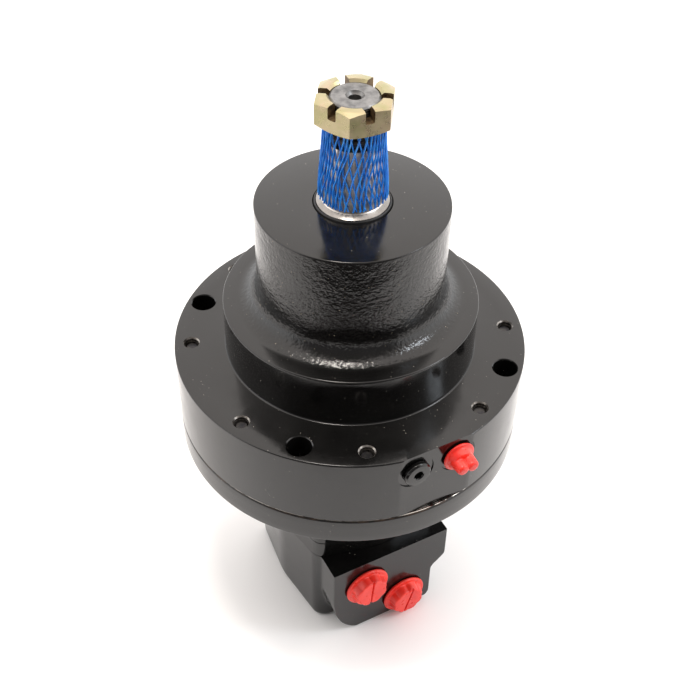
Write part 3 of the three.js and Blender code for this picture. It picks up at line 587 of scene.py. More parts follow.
def add_world():
    """A white room, warmer overhead, with a dark side behind the camera."""
    world = bpy.data.worlds.new("white_room")
    world.use_nodes = True
    nodes = world.node_tree.nodes
    links = world.node_tree.links
    place = nodes.new("ShaderNodeTexCoord")
    split = nodes.new("ShaderNodeSeparateXYZ")
    ramp = nodes.new("ShaderNodeValToRGB")
    ramp.color_ramp.elements[0].position = 0.0
    ramp.color_ramp.elements[0].color = (0.98, 0.99, 1.0, 1)
    ramp.color_ramp.elements[1].position = 0.75
    ramp.color_ramp.elements[1].color = (1.0, 0.94, 0.90, 1)
    toward_camera = nodes.new("ShaderNodeVectorMath")
    toward_camera.operation = "DOT_PRODUCT"
    toward_camera.inputs[1].default_value = camera_side(DARK_SIDE_ELEVATION)
    shade = nodes.new("ShaderNodeMapRange")
    shade.interpolation_type = "SMOOTHSTEP"
    shade.inputs["From Min"].default_value = math.cos(DARK_SIDE_EDGE)
    shade.inputs["From Max"].default_value = math.cos(DARK_SIDE_CORE)
    shade.inputs["To Min"].default_value = ROOM_LIGHT
    shade.inputs["To Max"].default_value = DARK_SIDE_LIGHT
    background = nodes["Background"]
    links.new(place.outputs["Generated"], split.inputs["Vector"])
    links.new(place.outputs["Generated"], toward_camera.inputs[0])
    links.new(toward_camera.outputs["Value"], shade.inputs["Value"])
    links.new(shade.outputs["Result"], background.inputs["Strength"])
    links.new(split.outputs["Z"], ramp.inputs["Fac"])
    links.new(ramp.outputs["Color"], background.inputs["Color"])
    bpy.context.scene.world = world
    bpy.context.scene.view_settings.view_transform = "Standard"
    bpy.context.scene.view_settings.look = "None"


def add_area_light(name, location, target, size, power, color):
    data = bpy.data.lights.new(name, "AREA")
    data.shape = "SQUARE"
    data.size = size
    data.energy = power
    data.color = color
    light = bpy.data.objects.new(name, data)
    light.location = location
    light.rotation_euler = (Vector(target) - Vector(location)).to_track_quat("-Z", "Y").to_euler()
    bpy.context.scene.collection.objects.link(light)


def add_floor():
    bm = bmesh.new()
    bmesh.ops.create_grid(bm, x_segments=8, y_segments=8, size=6)
    bmesh.ops.translate(bm, vec=(0, 0, valve_low.z - 0.2 * MM), verts=bm.verts)
    finish_mesh("floor", bm, [pale_floor()])


def add_dark_mat():
    """A dark mat in front of the white paper. The upright walls mirror it."""
    bm = box_mesh(MAT_SIZE, (0, -(MAT_DISTANCE + MAT_SIZE[1] / 2), 0))
    bmesh.ops.rotate(bm, verts=bm.verts, matrix=Matrix.Rotation(CAMERA_AZIMUTH, 3, "Z"), cent=(0, 0, 0))
    surface = Surface("dark_mat", (0.02, 0.019, 0.018), 0.7)
    surface.bump(surface.noise(200, 3), 0.0005, 0.4)
    finish_mesh("dark_mat", bm, [surface.material])


# Brake housing

def dense(start, end, steps):
    """Points between two outline points, ends included."""
    return [(start[0] + (end[0] - start[0]) * i / steps, start[1] + (end[1] - start[1]) * i / steps)
            for i in range(steps + 1)]


def housing_outline():
    base = HOUSING_BASE
    rim = 0.7 * MM
    fillet_centre = (NOSE_RADIUS + NOSE_FILLET, PILOT_TOP + NOSE_FILLET)
    outside = [
        (FLANGE_RADIUS - rim, base),
        (FLANGE_RADIUS, base + rim),
        *dense((FLANGE_RADIUS, base + 2 * rim), (FLANGE_RADIUS, FLANGE_TOP - 2 * rim), 6),
        *arc((FLANGE_RADIUS - rim, FLANGE_TOP - rim), rim, 0, 90, 4),
        (BOLT_CIRCLE, FLANGE_TOP),
        *arc((PILOT_RADIUS + 0.9 * MM, FLANGE_TOP + 0.9 * MM), 0.9 * MM, -90, -180, 4),
        *dense((PILOT_RADIUS, FLANGE_TOP + 2 * MM), (PILOT_RADIUS, PILOT_TOP - 2 * rim), 4),
        *arc((PILOT_RADIUS - rim, PILOT_TOP - rim), rim, 0, 90, 4),
        *arc(fillet_centre, NOSE_FILLET, -90, -180, 14),
        *dense((NOSE_RADIUS, PILOT_TOP + NOSE_FILLET + MM), (NOSE_RADIUS, NOSE_TOP - 1.2 * MM), 40),
        *arc((NOSE_RADIUS - 0.6 * MM, NOSE_TOP - 0.6 * MM), 0.6 * MM, 0, 90, 4),
    ]
    mouth = [(NOSE_BORE + 0.5 * MM, NOSE_TOP), (NOSE_BORE, NOSE_TOP - 0.5 * MM)]
    seal_and_bearing_seats = in_metres([
        (20.3, 286.2), (27, 286.2), (27, 276), (34, 276), (34, 272.3), (40.3, 272.3), (40.3, 252),
        (40.8, 251), (40.8, 232.3), (42.8, 232.3), (42.8, 206.3),
    ])
    brake_chamber = in_metres([
        (60.3, 206.3), (60.3, 191), (66.3, 191), (66.3, 185.3), (74.3, 185.3),
    ])
    return outside + mouth + seal_and_bearing_seats + brake_chamber + [(74.3 * MM, base)]


def cast_wobble(angle, radius, height):
    """Uneven sand-cast skin on the nose and its fillet only."""
    on_nose = PILOT_TOP + 1.5 * MM < height < NOSE_TOP - 1.5 * MM and radius > NOSE_RADIUS - MM
    if not on_nose:
        return 0
    spot = Vector((radius * math.cos(angle), radius * math.sin(angle), height))
    broad = noise.noise(spot / (9 * MM))
    fine = noise.noise(spot / (2.6 * MM))
    pit = max(0, noise.noise(spot / (1.9 * MM) + Vector((7, 3, 5))) - 0.33)
    return (0.10 * broad + 0.10 * fine - 0.45 * pit) * MM


def hole_cutter(radius, low, high, x, y, chamfer, segments=SMALL, thread=0):
    """A drill with a countersink at the top, and thread grooves if a pitch is given."""
    outline = [(0, low), (radius, low)]
    if thread:
        turns = int((high - low - 2 * chamfer) / thread)
        for i in range(turns):
            start = low + i * thread
            outline += [(radius, start + 0.1 * thread), (radius + 0.28 * MM, start + 0.5 * thread),
                        (radius, start + 0.9 * thread)]
    outline += [(radius, high - chamfer), (radius + chamfer, high), (radius + chamfer, high + 2 * MM),
                (0, high + 2 * MM)]
    return lathe(outline, segments, (x, y))


def brake_housing():
    body = lathe(housing_outline(), ROUND, wobble=cast_wobble)
    depth = 10 * MM
    middle = (FLANGE_TOP + HOUSING_BASE) / 2
    tools = [box_mesh((4 * BRAKE_PORT_X + 60 * MM, depth, FLANGE_TOP - HOUSING_BASE + 2 * MM),
                      (0, -RIM_FLAT - depth / 2, middle))]
    low = HOUSING_BASE - OVER
    for x, y in MOUNT_PLACES:
        tools.append(hole_cutter(MOUNT_HOLE, low, FLANGE_TOP, x, y, 0.5 * MM, 64))
    for x, y in TAPPED_PLACES:
        tools.append(hole_cutter(TAPPED_HOLE, low, FLANGE_TOP, x, y, 0.7 * MM, SMALL, 1.4 * MM))
    for tool in tools:
        body = boolean(body, tool)
    for x in (-BRAKE_PORT_X, BRAKE_PORT_X):
        face = round_cut(SPOTFACE_RADIUS, 0, 6 * MM, segments=64)
        body = boolean(body, facing_front(face, x, BRAKE_PORT_Z, RIM_FLAT - SPOTFACE_DEPTH))
        bore = lathe([(0, -13 * MM), (BRAKE_PORT_BORE, -13 * MM), (BRAKE_PORT_BORE, -1.4 * MM),
                      (BRAKE_PORT_BORE + 1.2 * MM, 2 * MM), (0, 2 * MM)], 40)
        body = boolean(body, facing_front(bore, x, BRAKE_PORT_Z, RIM_FLAT))
    materials = [MACHINED, CAST, OILY_THREAD_AND_RIM_HIGHLIGHT]
    obj = finish_mesh("brake_housing_casting", body, materials)
    finish_faces(obj, materials, housing_material)
    return place(obj, "housing", "black_paint", "brake_housing")


def housing_material(face):
    """Cast skin on the nose and its fillet, bare thread in the tapped holes with bare metal on their
    countersunk rims as a painted highlight, machined elsewhere.
    """
    x, y, z = face.center
    if PILOT_TOP + 0.3 * MM < z < NOSE_TOP - 1.4 * MM and math.hypot(x, y) > NOSE_RADIUS - MM:
        return CAST
    # The countersunk rims take the bare metal too, a painted highlight round each hole.
    if z < FLANGE_TOP - 0.1 * MM and near_tapped_hole(x, y):
        return OILY_THREAD_AND_RIM_HIGHLIGHT
    return MACHINED


def near_tapped_hole(x, y):
    return any(math.hypot(x - hole_x, y - hole_y) < TAPPED_HOLE + 0.6 * MM
               for hole_x, hole_y in TAPPED_PLACES)


# Cover plate and its screws

def cover_plate():
    rim = 0.9 * MM
    base, top = cover_low.z, cover_high.z
    groove = top - 2.6 * MM
    outline = [
        (FLANGE_RADIUS - rim, base), *dense((FLANGE_RADIUS, base + rim), (FLANGE_RADIUS, top - rim), 3),
        (FLANGE_RADIUS - rim, top), (RIM_FLAT - MM, top), (80 * MM, top), (80 * MM, groove),
        (77 * MM, groove), (77 * MM, top), (32 * MM, top), (32 * MM, base),
    ]
    body = lathe(softened(outline, 0.35 * MM))
    for x, y in MOUNT_PLACES:
        body = boolean(body, hole_cutter(MOUNT_HOLE, base - OVER, top + OVER, x, y, 0.1 * MM, 64))
    shoulder = base + 9 * MM
    screw_hole = [
        (0, base - OVER), (6.9 * MM, base - OVER), (6.25 * MM, base + 0.6 * MM), (6.25 * MM, shoulder),
        (TAPPED_HOLE, shoulder), (TAPPED_HOLE, top + OVER), (0, top + OVER),
    ]
    for x, y in TAPPED_PLACES:
        body = boolean(body, lathe(screw_hole, SMALL, (x, y)))
    for x, y in MOTOR_BOLT_PLACES:
        body = boolean(body, round_cut(MOTOR_BOLT_HOLE, base - OVER, base + 13.5 * MM, x, y))
    materials = [MACHINED, WORN, LEDGE_WITH_PAINTED_SHEEN]
    obj = finish_mesh("cover_plate_machined", body, materials)
    finish_faces(obj, materials, cover_material)
    return place(obj, "housing", "black_paint", "cover_plate")


def cover_material(face):
    """Bare metal with painted sheen on the ledge, worn paint on the edge of the split line, machined
    elsewhere.
    """
    x, y, z = face.center
    radius = math.hypot(x, y)
    if radius > RIM_FLAT - MM and z > cover_high.z - 0.2 * MM:
        return LEDGE_WITH_PAINTED_SHEEN
    if radius > FLANGE_RADIUS - 1.6 * MM and z > cover_high.z - 0.75 * MM:
        return WORN
    return MACHINED


def socket_screw_mesh(shank, head, head_height, length, socket):
    """A socket-head screw standing on its head, with a hexagon socket and a threaded shank end."""
    pitch = 1.4 * MM
    turns = 20
    outline = [(0, 0), (head - 0.8 * MM, 0), (head, 0.8 * MM), (head, head_height), (shank, head_height),
               (shank, length - turns * pitch)]
    for i in range(turns - 1):
        start = length - (turns - i) * pitch
        outline += [(shank - 0.45 * MM, start + 0.35 * pitch), (shank, start + 0.7 * pitch)]
    outline += [(shank - 0.8 * MM, length), (0, length)]
    screw = lathe(outline, SMALL)
    return boolean(screw, prism(polygon(6, socket), -MM, 0.6 * head_height))


def add_screws(prefix, shank, head, head_height, socket):
    """Every screw of one kind is the same mesh, moved to its CAD node's place."""
    names = sorted(name for name in frame["nodes"] if name.startswith(prefix))
    low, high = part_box(names[0])
    bm = socket_screw_mesh(shank, head, head_height, high.z - low.z, socket)
    pattern = bpy.data.meshes.new(prefix)
    bm.to_mesh(pattern)
    bm.free()
    for name in names:
        low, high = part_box(name)
        copy = bmesh.new()
        copy.from_mesh(pattern)
        bmesh.ops.translate(copy, vec=((low.x + high.x) / 2, (low.y + high.y) / 2, low.z), verts=copy.verts)
        place(finish_mesh(name + "_detailed", copy, [OXIDE]), "housing", "black_oxide", name)
    bpy.data.meshes.remove(pattern)


# Motor sections

ROLLERS = 7


def lobed_outline(body_radius, inset, steps=192):
    """The tightest outline round a circular body and the lobe at each bolt."""
    circles = [(0, 0, body_radius - inset)]
    circles += [(x, y, LOBE_RADIUS - inset) for x, y in MOTOR_BOLT_PLACES]
    outline = []
    for k in range(steps):
        angle = 2 * math.pi * (k + 0.5) / steps
        dx, dy = math.cos(angle), math.sin(angle)
        x, y, radius = max(circles, key=lambda circle: circle[0] * dx + circle[1] * dy + circle[2])
        outline.append((x + radius * dx, y + radius * dy))
    return outline


def lobed_section(levels, body_radius, bore):
    """A motor section: levels are (height, inset) pairs from the bottom up the outside."""
    bm = bmesh.new()
    loops = [[bm.verts.new((x, y, height)) for x, y in lobed_outline(body_radius, inset)]
             for height, inset in levels]
    steps = len(loops[0])
    if bore:
        circle = on_circle(bore, steps, 180 / steps)
        for height in (levels[-1][0], levels[0][0]):
            loops.append([bm.verts.new((x, y, height)) for x, y in circle])
    else:
        bm.faces.new(loops[0])
        bm.faces.new(loops[-1])
    pairs = len(loops) if bore else len(loops) - 1
    for i in range(pairs):
        lower, upper = loops[i], loops[(i + 1) % len(loops)]
        for k in range(steps):
            n = (k + 1) % steps
            bm.faces.new((lower[k], lower[n], upper[n], upper[k]))
    return bm


def chamfered(low, high, edge):
    return [(low, edge), (low + edge, 0), ((low + high) / 2, 0), (high - edge, 0), (high, edge)]


def motor_section(node, bore, extra_cuts=()):
    low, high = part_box(node)
    body = lobed_section(chamfered(low.z, high.z, 0.25 * MM), MOTOR_RADIUS, bore)
    for x, y in MOTOR_BOLT_PLACES:
        body = boolean(body, round_cut(MOTOR_BOLT_HOLE, low.z - OVER, high.z + OVER, x, y))
    for cut in extra_cuts:
        body = boolean(body, cut)
    return place(finish_mesh(node + "_machined", body, [MACHINED]), "housing", "black_paint", node)


def add_motor_sections():
    front_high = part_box("motor_front_housing")[1]
    groove = front_high.z - 2.6 * MM
    seal_groove = lathe([(36 * MM, groove), (39 * MM, groove), (39 * MM, front_high.z + OVER),
                         (36 * MM, front_high.z + OVER)], MEDIUM)
    motor_section("motor_front_housing", 20 * MM, [seal_groove])
    motor_section("wear_plate", 17 * MM)
    ring_low, ring_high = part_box("geroler_ring")
    pockets = [round_cut(6.9 * MM, ring_low.z - OVER, ring_high.z + OVER, x, y, 64)
               for x, y in on_circle(32 * MM, ROLLERS, 0)]
    motor_section("geroler_ring", 31.2 * MM, pockets)
    plate_low, plate_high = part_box("valve_plate")
    timing_holes = [round_cut(2.6 * MM, plate_low.z - OVER, plate_high.z + OVER, x, y)
                    for x, y in on_circle(27.5 * MM, ROLLERS, 180 / ROLLERS)]
    motor_section("valve_plate", 13 * MM, timing_holes)


# Valve housing

BLOCK_SKIN = 1.0 * MM  # cast stock left on the machined faces, cut off after the skin is softened


def block_outline():
    """The port block seen from the front: an S-curve narrows its right, a long curve its left."""
    wide, narrow, corner = 39.7 * MM, 30 * MM, 6 * MM
    curve_top, curve_base = 40.5 * MM, 28.5 * MM
    round_width, round_height = 22 * MM, 36 * MM
    right_steps, left_steps = 12, 16
    top = valve_high.z + 2 * MM
    outline = [(wide, top)]
    for i in range(right_steps + 1):
        t = i / right_steps
        ease = (1 - math.cos(math.pi * t)) / 2
        outline.append((wide + (narrow - wide) * ease, curve_top + (curve_base - curve_top) * t))
    outline += arc((narrow - corner, corner), corner, 0, -90, 8)
    for i in range(left_steps + 1):
        angle = math.pi / 2 * i / left_steps
        outline.append((round_width * (1 - math.sin(angle)) - wide, round_height * (1 - math.cos(angle))))
    return outline + [(-wide, top)]


def port_block():
    block = prism(block_outline(), 30 * MM, PORT_FACE + BLOCK_SKIN)
    bmesh.ops.transform(block, matrix=Matrix.Rotation(math.radians(90), 4, "X"), verts=block.verts)
    return block


def valve_casting():
    """The rough casting with its port block, cut flat on the mating face, the base and the port face."""
    low, top = valve_low.z, valve_high.z
    foot = [(low - 0.2 * MM, 2.6 * MM), (low + 0.5 * MM, 1.2 * MM), (low + 1.4 * MM, 0.4 * MM),
            (low + 3 * MM, 0), (top + BLOCK_SKIN, 0)]
    body = lobed_section(foot, VALVE_HOUSING_RADIUS, 0)
    casting = remeshed(boolean(body, port_block(), "UNION"), 0.8 * MM, 14)
    size = 300 * MM
    for centre in ((0, 0, top + size / 2), (0, 0, low - size / 2), (0, -PORT_FACE - size / 2, 0)):
        casting = boolean(casting, box_mesh((size, size, size), centre))
    chamfer = box_mesh((size, 3 * MM, 3 * MM), (0, 0, 0))
    tilt = Matrix.Rotation(math.radians(45), 3, "X")
    bmesh.ops.rotate(chamfer, verts=chamfer.verts, matrix=tilt, cent=(0, 0, 0))
    bmesh.ops.translate(chamfer, verts=chamfer.verts, vec=(0, -PORT_FACE - 0.6 * MM, low - 0.2 * MM))
    return boolean(casting, chamfer)


def valve_housing():
    low, top = valve_low.z, valve_high.z
    casting = boolean(valve_casting(), round_cut(32 * MM, 33 * MM, top + OVER, segments=MEDIUM))
    port_depth = 16 * MM
    for node in ("upper_port_plug", "lower_port_plug"):
        plug_low, plug_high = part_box(node)
        x, z = (plug_low.x + plug_high.x) / 2, (plug_low.z + plug_high.z) / 2
        bore = lathe([(0, -port_depth), (PORT_BORE, -port_depth), (PORT_BORE, -1.6 * MM),
                      (PORT_BORE + 1.4 * MM, OVER), (0, OVER)], 64)
        casting = boolean(casting, facing_front(bore, x, z, PORT_FACE))
    head, shoulder = 6.8 * MM, low + 9.6 * MM
    counterbore = [(0, low - OVER), (head, low - OVER), (head, shoulder), (MOTOR_BOLT_HOLE, shoulder),
                   (MOTOR_BOLT_HOLE, top + OVER), (0, top + OVER)]
    for x, y in MOTOR_BOLT_PLACES:
        casting = boolean(casting, lathe(counterbore, SMALL, (x, y)))
    obj = finish_mesh("valve_housing_casting", casting, [MACHINED])
    return place(obj, "housing", "black_paint", "valve_housing")


# Output shaft, nut, netting and seal

THREAD_PITCH = 1.27 * MM
THREAD_RADIUS = 12.5 * MM
THREAD_START = 329.5 * MM
THREAD_TOP = SHAFT_END - 0.9 * MM
TAPER_START = 290.9 * MM
TAPER_END = 325.8 * MM


def thread_depth(angle, radius, height):
    """A helical V-thread, fading out at its lower end."""
    if not THREAD_START < height < THREAD_TOP or radius < THREAD_RADIUS - 0.1 * MM:
        return 0
    phase = (height / THREAD_PITCH - angle / (2 * math.pi)) % 1
    depth = 0.62 * THREAD_PITCH * min(1, (height - THREAD_START) / THREAD_PITCH)
    return -depth * abs(2 * phase - 1)


def shaft_outline():
    hub_and_journal = in_metres([
        (0, 138), (13, 138), (25, 138), (26, 139), (26, 187), (32.4, 187.2), (32.4, 206), (24, 206),
        (24, 234), (22.5, 235), (22.5, 276), (19.05, 277), (19.05, 288.9), (18.85, 289.3),
    ])
    taper_and_undercut = in_metres([
        (16.3, 290.7), (15.875, 291.2), (13.75, 325.6), (13.3, 326), (11.4, 326.8), (11.4, 328.4),
    ])
    threads = dense((THREAD_RADIUS, THREAD_START - 0.1 * MM), (THREAD_RADIUS, THREAD_TOP), 160)
    tip = [(THREAD_RADIUS - 0.9 * MM, SHAFT_END), (0, SHAFT_END)]
    return hub_and_journal + taper_and_undercut + threads + tip


def output_shaft():
    body = lathe(shaft_outline(), 128, wobble=thread_depth)
    end = SHAFT_END
    centre_hole = [(0, end - 9 * MM), (3.15 * MM, end - 7.5 * MM), (3.15 * MM, end - 1.5 * MM),
                   (4.6 * MM, end - 0.1 * MM), (4.9 * MM, end + OVER), (0, end + OVER)]
    body = boolean(body, lathe(centre_hole, SMALL))
    keyway = box_mesh((7.9 * MM, 8 * MM, 26 * MM), (0, 15.7 * MM, 308 * MM))
    body = boolean(body, keyway)
    body = boolean(body, round_cut(13 * MM, 137 * MM, 166 * MM))
    materials = [STEEL, THREAD_STEEL_PAINTED_SHADE, FACED, TAPER_STEEL_PAINTED_LIT]
    obj = finish_mesh("output_shaft_turned", body, materials)
    finish_faces(obj, materials, shaft_material)
    return place(obj, "shaft", "shaft_steel", "output_shaft")


def shaft_material(face):
    """The faced end and centre hole, the thread painted dark as shade, the taper painted bright as light,
    and the steel below it.
    """
    x, y, z = face.center
    if z > SHAFT_END - 0.95 * MM or math.hypot(x, y) < 5 * MM:
        return FACED
    if z > TAPER_END:
        return THREAD_STEEL_PAINTED_SHADE
    if z > TAPER_START:
        return TAPER_STEEL_PAINTED_LIT
    return STEEL


NUT_FLATS = 36.5 * MM
NUT_FIRST_CORNER = math.radians(-5)
NUT_SLOT_WIDTH = 4.8 * MM
NUT_SLOT_BASE = 343.5 * MM


def castle_nut():
    low, high = nut_low.z, nut_high.z
    corner = NUT_FLATS / 2 / math.cos(math.pi / 6)
    hexagon = prism(polygon(6, NUT_FLATS, NUT_FIRST_CORNER), low, high)
    envelope = lathe([(0, low), (NUT_FLATS / 2 - 0.4 * MM, low), (corner + 0.2 * MM, low + 1.3 * MM),
                      (corner + 0.2 * MM, high - 1.5 * MM), (NUT_FLATS / 2 - 0.6 * MM, high - 0.2 * MM),
                      (NUT_FLATS / 2 - 1.1 * MM, high), (0, high)], 144)
    nut = boolean(hexagon, envelope, "INTERSECT")
    bore = THREAD_RADIUS + 0.1 * MM
    bore_outline = [
        (0, low - OVER), (bore + 1.2 * MM, low - OVER), (bore + 1.2 * MM, low), (bore, low + 1.2 * MM),
        (bore, high - 1.3 * MM), (bore + 1.3 * MM, high), (bore + 1.3 * MM, high + OVER), (0, high + OVER),
    ]
    nut = boolean(nut, lathe(bore_outline, MEDIUM))
    half = NUT_SLOT_WIDTH / 2
    section = softened([(-half, NUT_SLOT_BASE), (half, NUT_SLOT_BASE), (half, high + OVER),
                        (-half, high + OVER)], 1.1 * MM, 5)
    stand = Matrix.Rotation(math.radians(90), 4, "X")
    for i in range(3):
        bar = prism(section, -NUT_FLATS, NUT_FLATS)
        turn = Matrix.Rotation(NUT_FIRST_CORNER + math.pi / 6 + i * math.pi / 3 + math.pi / 2, 4, "Z")
        bmesh.ops.transform(bar, matrix=turn @ stand, verts=bar.verts)
        nut = boolean(nut, bar)
    materials = [ZINC, STAINED]
    obj = finish_mesh("castle_nut_plated", nut, materials, 24)
    finish_faces(obj, materials, nut_material)
    bevel = obj.modifiers.new("edges", "BEVEL")
    bevel.width = 0.22 * MM
    bevel.segments = 2
    bevel.limit_method = "ANGLE"
    bevel.angle_limit = math.radians(28)
    return place(obj, "shaft", "yellow_zinc", "castle_nut")


def nut_material(face):
    """Stained metal in the slots, plating elsewhere."""
    return STAINED if face.center.z > NUT_SLOT_BASE - 0.2 * MM and in_slot(face) else ZINC


def in_slot(face):
    """True for the walls and the floor of the nut's slots."""
    if abs(face.normal.z) > 0.9 and face.center.z > nut_high.z - 1.5 * MM:
        return False
    for i in range(6):
        angle = NUT_FIRST_CORNER + math.pi / 6 + i * math.pi / 3
        along = face.center.x * math.cos(angle) + face.center.y * math.sin(angle)
        across = -face.center.x * math.sin(angle) + face.center.y * math.cos(angle)
        outward = face.normal.x * math.cos(angle) + face.normal.y * math.sin(angle)
        if along > 0 and abs(across) < NUT_SLOT_WIDTH / 2 + 0.05 * MM and abs(outward) < 0.5:
            return True
    return False


NET_CLOSING = 0.1264  # how much narrower the net is under the nut than at its foot


def sleeve_radius(height):
    """The net's outer radius: it follows the taper and closes in under the nut."""
    low, high = sleeve_low.z, sleeve_high.z
    t = (height - low) / (high - low)
    ease = t * t * (3 - 2 * t)
    return sleeve_high.x * (1 - NET_CLOSING * ease) - 0.1 * MM


def tube_along(bm, points, radius, sides=6):
    """A closed tube of a few sides along a list of points."""
    loops = []
    for i, point in enumerate(points):
        ahead = points[min(i + 1, len(points) - 1)] - points[max(i - 1, 0)]
        outward = Vector((point.x, point.y, 0)).normalized()
        sideways = ahead.normalized().cross(outward).normalized()
        outward = sideways.cross(ahead.normalized())
        loops.append([bm.verts.new(point + radius * (math.cos(2 * math.pi * k / sides) * outward
                                                     + math.sin(2 * math.pi * k / sides) * sideways))
                      for k in range(sides)])
    for lower, upper in zip(loops, loops[1:]):
        for k in range(sides):
            n = (k + 1) % sides
            bm.faces.new((lower[k], lower[n], upper[n], upper[k]))
    bm.faces.new(list(reversed(loops[0])))
    bm.faces.new(loops[-1])


def net_warp(angle, height):
    """Where the net has been pulled about: strands bunch together here and spread there."""
    spot = Vector((math.cos(angle), math.sin(angle), height / (60 * MM)))
    return 0.17 * noise.noise(spot * 2.4) + 0.045 * noise.noise(spot * 4.5 + Vector((4, 1, 7)))


def netting_sleeve():
    """Two layers of strands that cross at a shallow angle and are fused where they meet."""
    strands = 38
    strand = 0.46 * MM
    crossing = math.radians(11)
    middle_radius = 17 * MM
    steps = 56
    low, high = sleeve_low.z + strand, sleeve_high.z - strand
    twist = (high - low) * math.tan(crossing) / middle_radius
    bm = bmesh.new()
    for layer, direction in ((0, 1), (1, -1)):
        for i in range(strands):
            start = 2 * math.pi * (i + 0.5 * layer) / strands - direction * twist / 2
            points = []
            for k in range(steps + 1):
                height = low + (high - low) * k / steps
                angle = start + direction * twist * k / steps
                angle += net_warp(angle, height)
                reach = sleeve_radius(height) - strand - layer * 1.3 * strand
                points.append(Vector((reach * math.cos(angle), reach * math.sin(angle), height)))
            tube_along(bm, points, strand)
    obj = finish_mesh("netting_sleeve", bm, [BLUE], 60)
    return place(obj, "shaft", "blue_net", "thread_sleeve")


def dust_seal():
    low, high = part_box("dust_seal")
    inner, outer = JOURNAL_RADIUS + 0.1 * MM, high.x
    outline = [(inner, low.z), (outer, low.z), (outer, high.z - 0.5 * MM), (outer - 0.35 * MM, high.z),
               (inner + 0.1 * MM, high.z - 0.1 * MM), (inner, high.z - 0.6 * MM)]
    obj = finish_mesh("dust_seal_lip", lathe(outline, 128), [RUBBER])
    return place(obj, "housing", "seal_rubber", "dust_seal")


# Port plugs and caps

def port_plug(node, slot_lean):
    """A moulded plug: ribbed stem, round flange, fluted grip and a slot that leans to the right."""
    low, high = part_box(node)
    x, z = (low.x + high.x) / 2, (low.z + high.z) / 2
    flange = (high.x - low.x) / 2
    front = -low.y - PORT_FACE
    stem, stem_end = 9.7 * MM, -11 * MM
    groove = stem - 0.5 * MM
    ribs = []
    for i in range(5):
        start = (-10.5 + 1.9 * i) * MM
        ribs += [(stem, start), (groove, start + 0.9 * MM), (groove, start + 1.7 * MM)]
    outline = [(0, stem_end), (stem - 0.8 * MM, stem_end), *ribs, (stem, 0.3 * MM)]
    outline += arc((flange - MM, 1.3 * MM), MM, -90, 90, 8)
    outline += [(12.3 * MM, 2.3 * MM), (0, 2.3 * MM)]
    body = lathe(outline, MEDIUM)
    grip = [(0, 1.8 * MM), (11.8 * MM, 1.8 * MM), (10.3 * MM, front), (0, front)]
    body = boolean(body, lathe(softened(grip, 0.9 * MM, 4), MEDIUM, wobble=grip_flutes), "UNION")
    slot = box_mesh((1.1 * MM, 30 * MM, 3 * MM), (0, 0, front))
    lean = Matrix.Rotation(math.radians(-slot_lean), 3, "Z")
    bmesh.ops.rotate(slot, verts=slot.verts, matrix=lean, cent=(0, 0, 0))
    body = remeshed(boolean(body, slot), 0.3 * MM, 3)
    facing_front(body, x, z, PORT_FACE)
    obj = finish_mesh(node + "_moulded", body, [RED], 40)
    return place(obj, node, "red_plastic", node)


def grip_flutes(angle, radius, height):
    """Eight flat flanks with a shallow hollow in each."""
    if radius < 6 * MM:
        return 0
    wave = abs(math.sin(4 * angle))
    return -0.095 * radius * (1 - wave) + 0.02 * radius


def brake_port_cap():
    """A small moulded cap: flange, short barrel and a pinch grip of two lobes."""
    low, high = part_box("brake_port_cap")
    x, z = (low.x + high.x) / 2, (low.z + high.z) / 2
    flange = (high.x - low.x) / 2
    front = -low.y - RIM_FLAT
    lobe = 3.2 * MM
    outline = [(0, 0.4 * MM), *arc((flange - 0.8 * MM, 1.2 * MM), 0.8 * MM, -90, 90, 8),
               (7.4 * MM, 2.1 * MM), (6.9 * MM, 3 * MM), (5.8 * MM, 5.6 * MM), (0, 6 * MM)]
    body = boolean(lathe(outline, 64), round_cut(4.7 * MM, -8 * MM, 2 * MM, segments=40), "UNION")
    for side in (-1, 1):
        grip = lathe(softened([(0, 3 * MM), (lobe + 0.7 * MM, 3 * MM), (lobe, front - 0.3 * MM),
                               (0, front - 0.1 * MM)], 1.6 * MM, 6), 32, (side * 2.95 * MM, 0))
        body = boolean(body, grip, "UNION")
    body = remeshed(body, 0.3 * MM, 4)
    facing_front(body, x, z, RIM_FLAT)
    obj = finish_mesh("brake_port_cap_moulded", body, [RED], 60)
    return place(obj, "brake_port_cap", "red_plastic", "brake_port_cap")


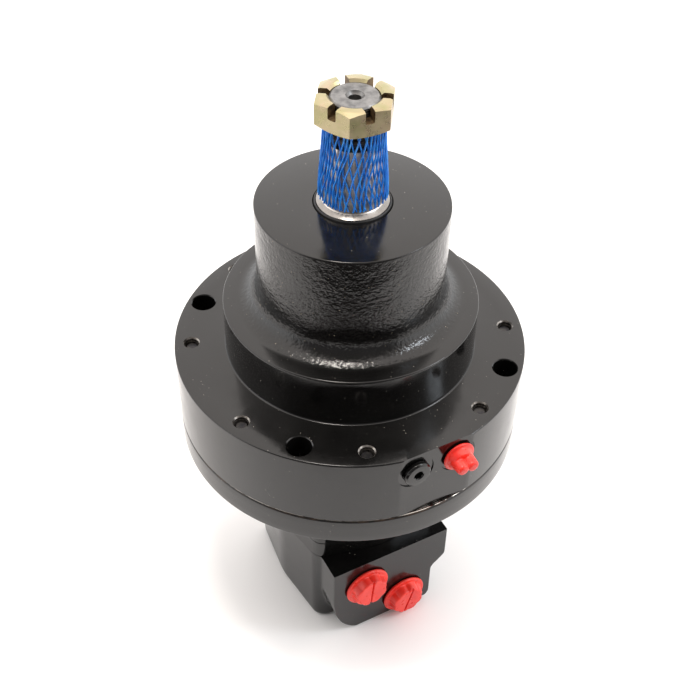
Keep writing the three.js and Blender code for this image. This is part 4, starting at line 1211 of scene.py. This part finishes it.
def brake_port_plug():
    """A steel plug painted with the housing: chamfered round head and hexagon socket."""
    low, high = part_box("brake_port_plug")
    x, z = (low.x + high.x) / 2, (low.z + high.z) / 2
    head = (high.x - low.x) / 2
    seat, front = -0.3 * MM, -low.y - RIM_FLAT
    shank, shank_end = 4.9 * MM, -11 * MM
    outline = [(0, shank_end), (shank - 0.7 * MM, shank_end), (shank, -10 * MM), (shank, seat),
               (head - 0.5 * MM, seat), (head, seat + 0.4 * MM), (head, front - 0.9 * MM),
               (head - 0.9 * MM, front), (0, front)]
    body = lathe(softened(outline, 0.25 * MM), 80)
    body = boolean(body, prism(polygon(6, 4.8 * MM), front - 4 * MM, front + OVER))
    countersink = [(0, front - 0.5 * MM), (2.55 * MM, front - 0.5 * MM), (3.2 * MM, front + 0.1 * MM),
                   (0, front + 0.1 * MM)]
    body = boolean(body, lathe(countersink, 40))
    facing_front(body, x, z, RIM_FLAT)
    obj = finish_mesh("brake_port_plug_painted", body, [MACHINED])
    return place(obj, "housing", "black_oxide", "brake_port_plug")


# Pieces inside keep their CAD shape and get their material

INNER_MATERIALS = {
    "seal_rubber": RUBBER, "hardened_steel": HARD_STEEL, "ground_iron": IRON, "spring_steel": SPRING_STEEL,
    "friction_lining": PAPER,
}


def dress_inner_nodes():
    for part in frame["record"]["subparts"]:
        material = INNER_MATERIALS.get(part["material_slot"])
        node = frame["nodes"][part["node"]]
        if material and part["node"] != "dust_seal":
            node.data.materials.clear()
            node.data.materials.append(material)


add_camera()
add_world()
add_floor()
add_dark_mat()
add_area_light("ceiling_lamp", location=(-0.15, 0, 1.5), target=(0, 0, 0.2), size=0.22, power=6.6,
               color=(1.0, 0.93, 0.86))
add_area_light("window", location=(0.9, -0.7, 1.2), target=(0, 0, 0.2), size=0.3, power=5,
               color=(0.86, 0.93, 1.0))
brake_housing()
cover_plate()
add_screws("cover_screw_", shank=3.65 * MM, head=5.95 * MM, head_height=7.9 * MM, socket=6.35 * MM)
add_screws("motor_bolt_", shank=4 * MM, head=6.5 * MM, head_height=8.2 * MM, socket=6.4 * MM)
add_motor_sections()
valve_housing()
output_shaft()
castle_nut()
netting_sleeve()
dust_seal()
port_plug("upper_port_plug", 5)
port_plug("lower_port_plug", 17)
brake_port_cap()
brake_port_plug()
dress_inner_nodes()
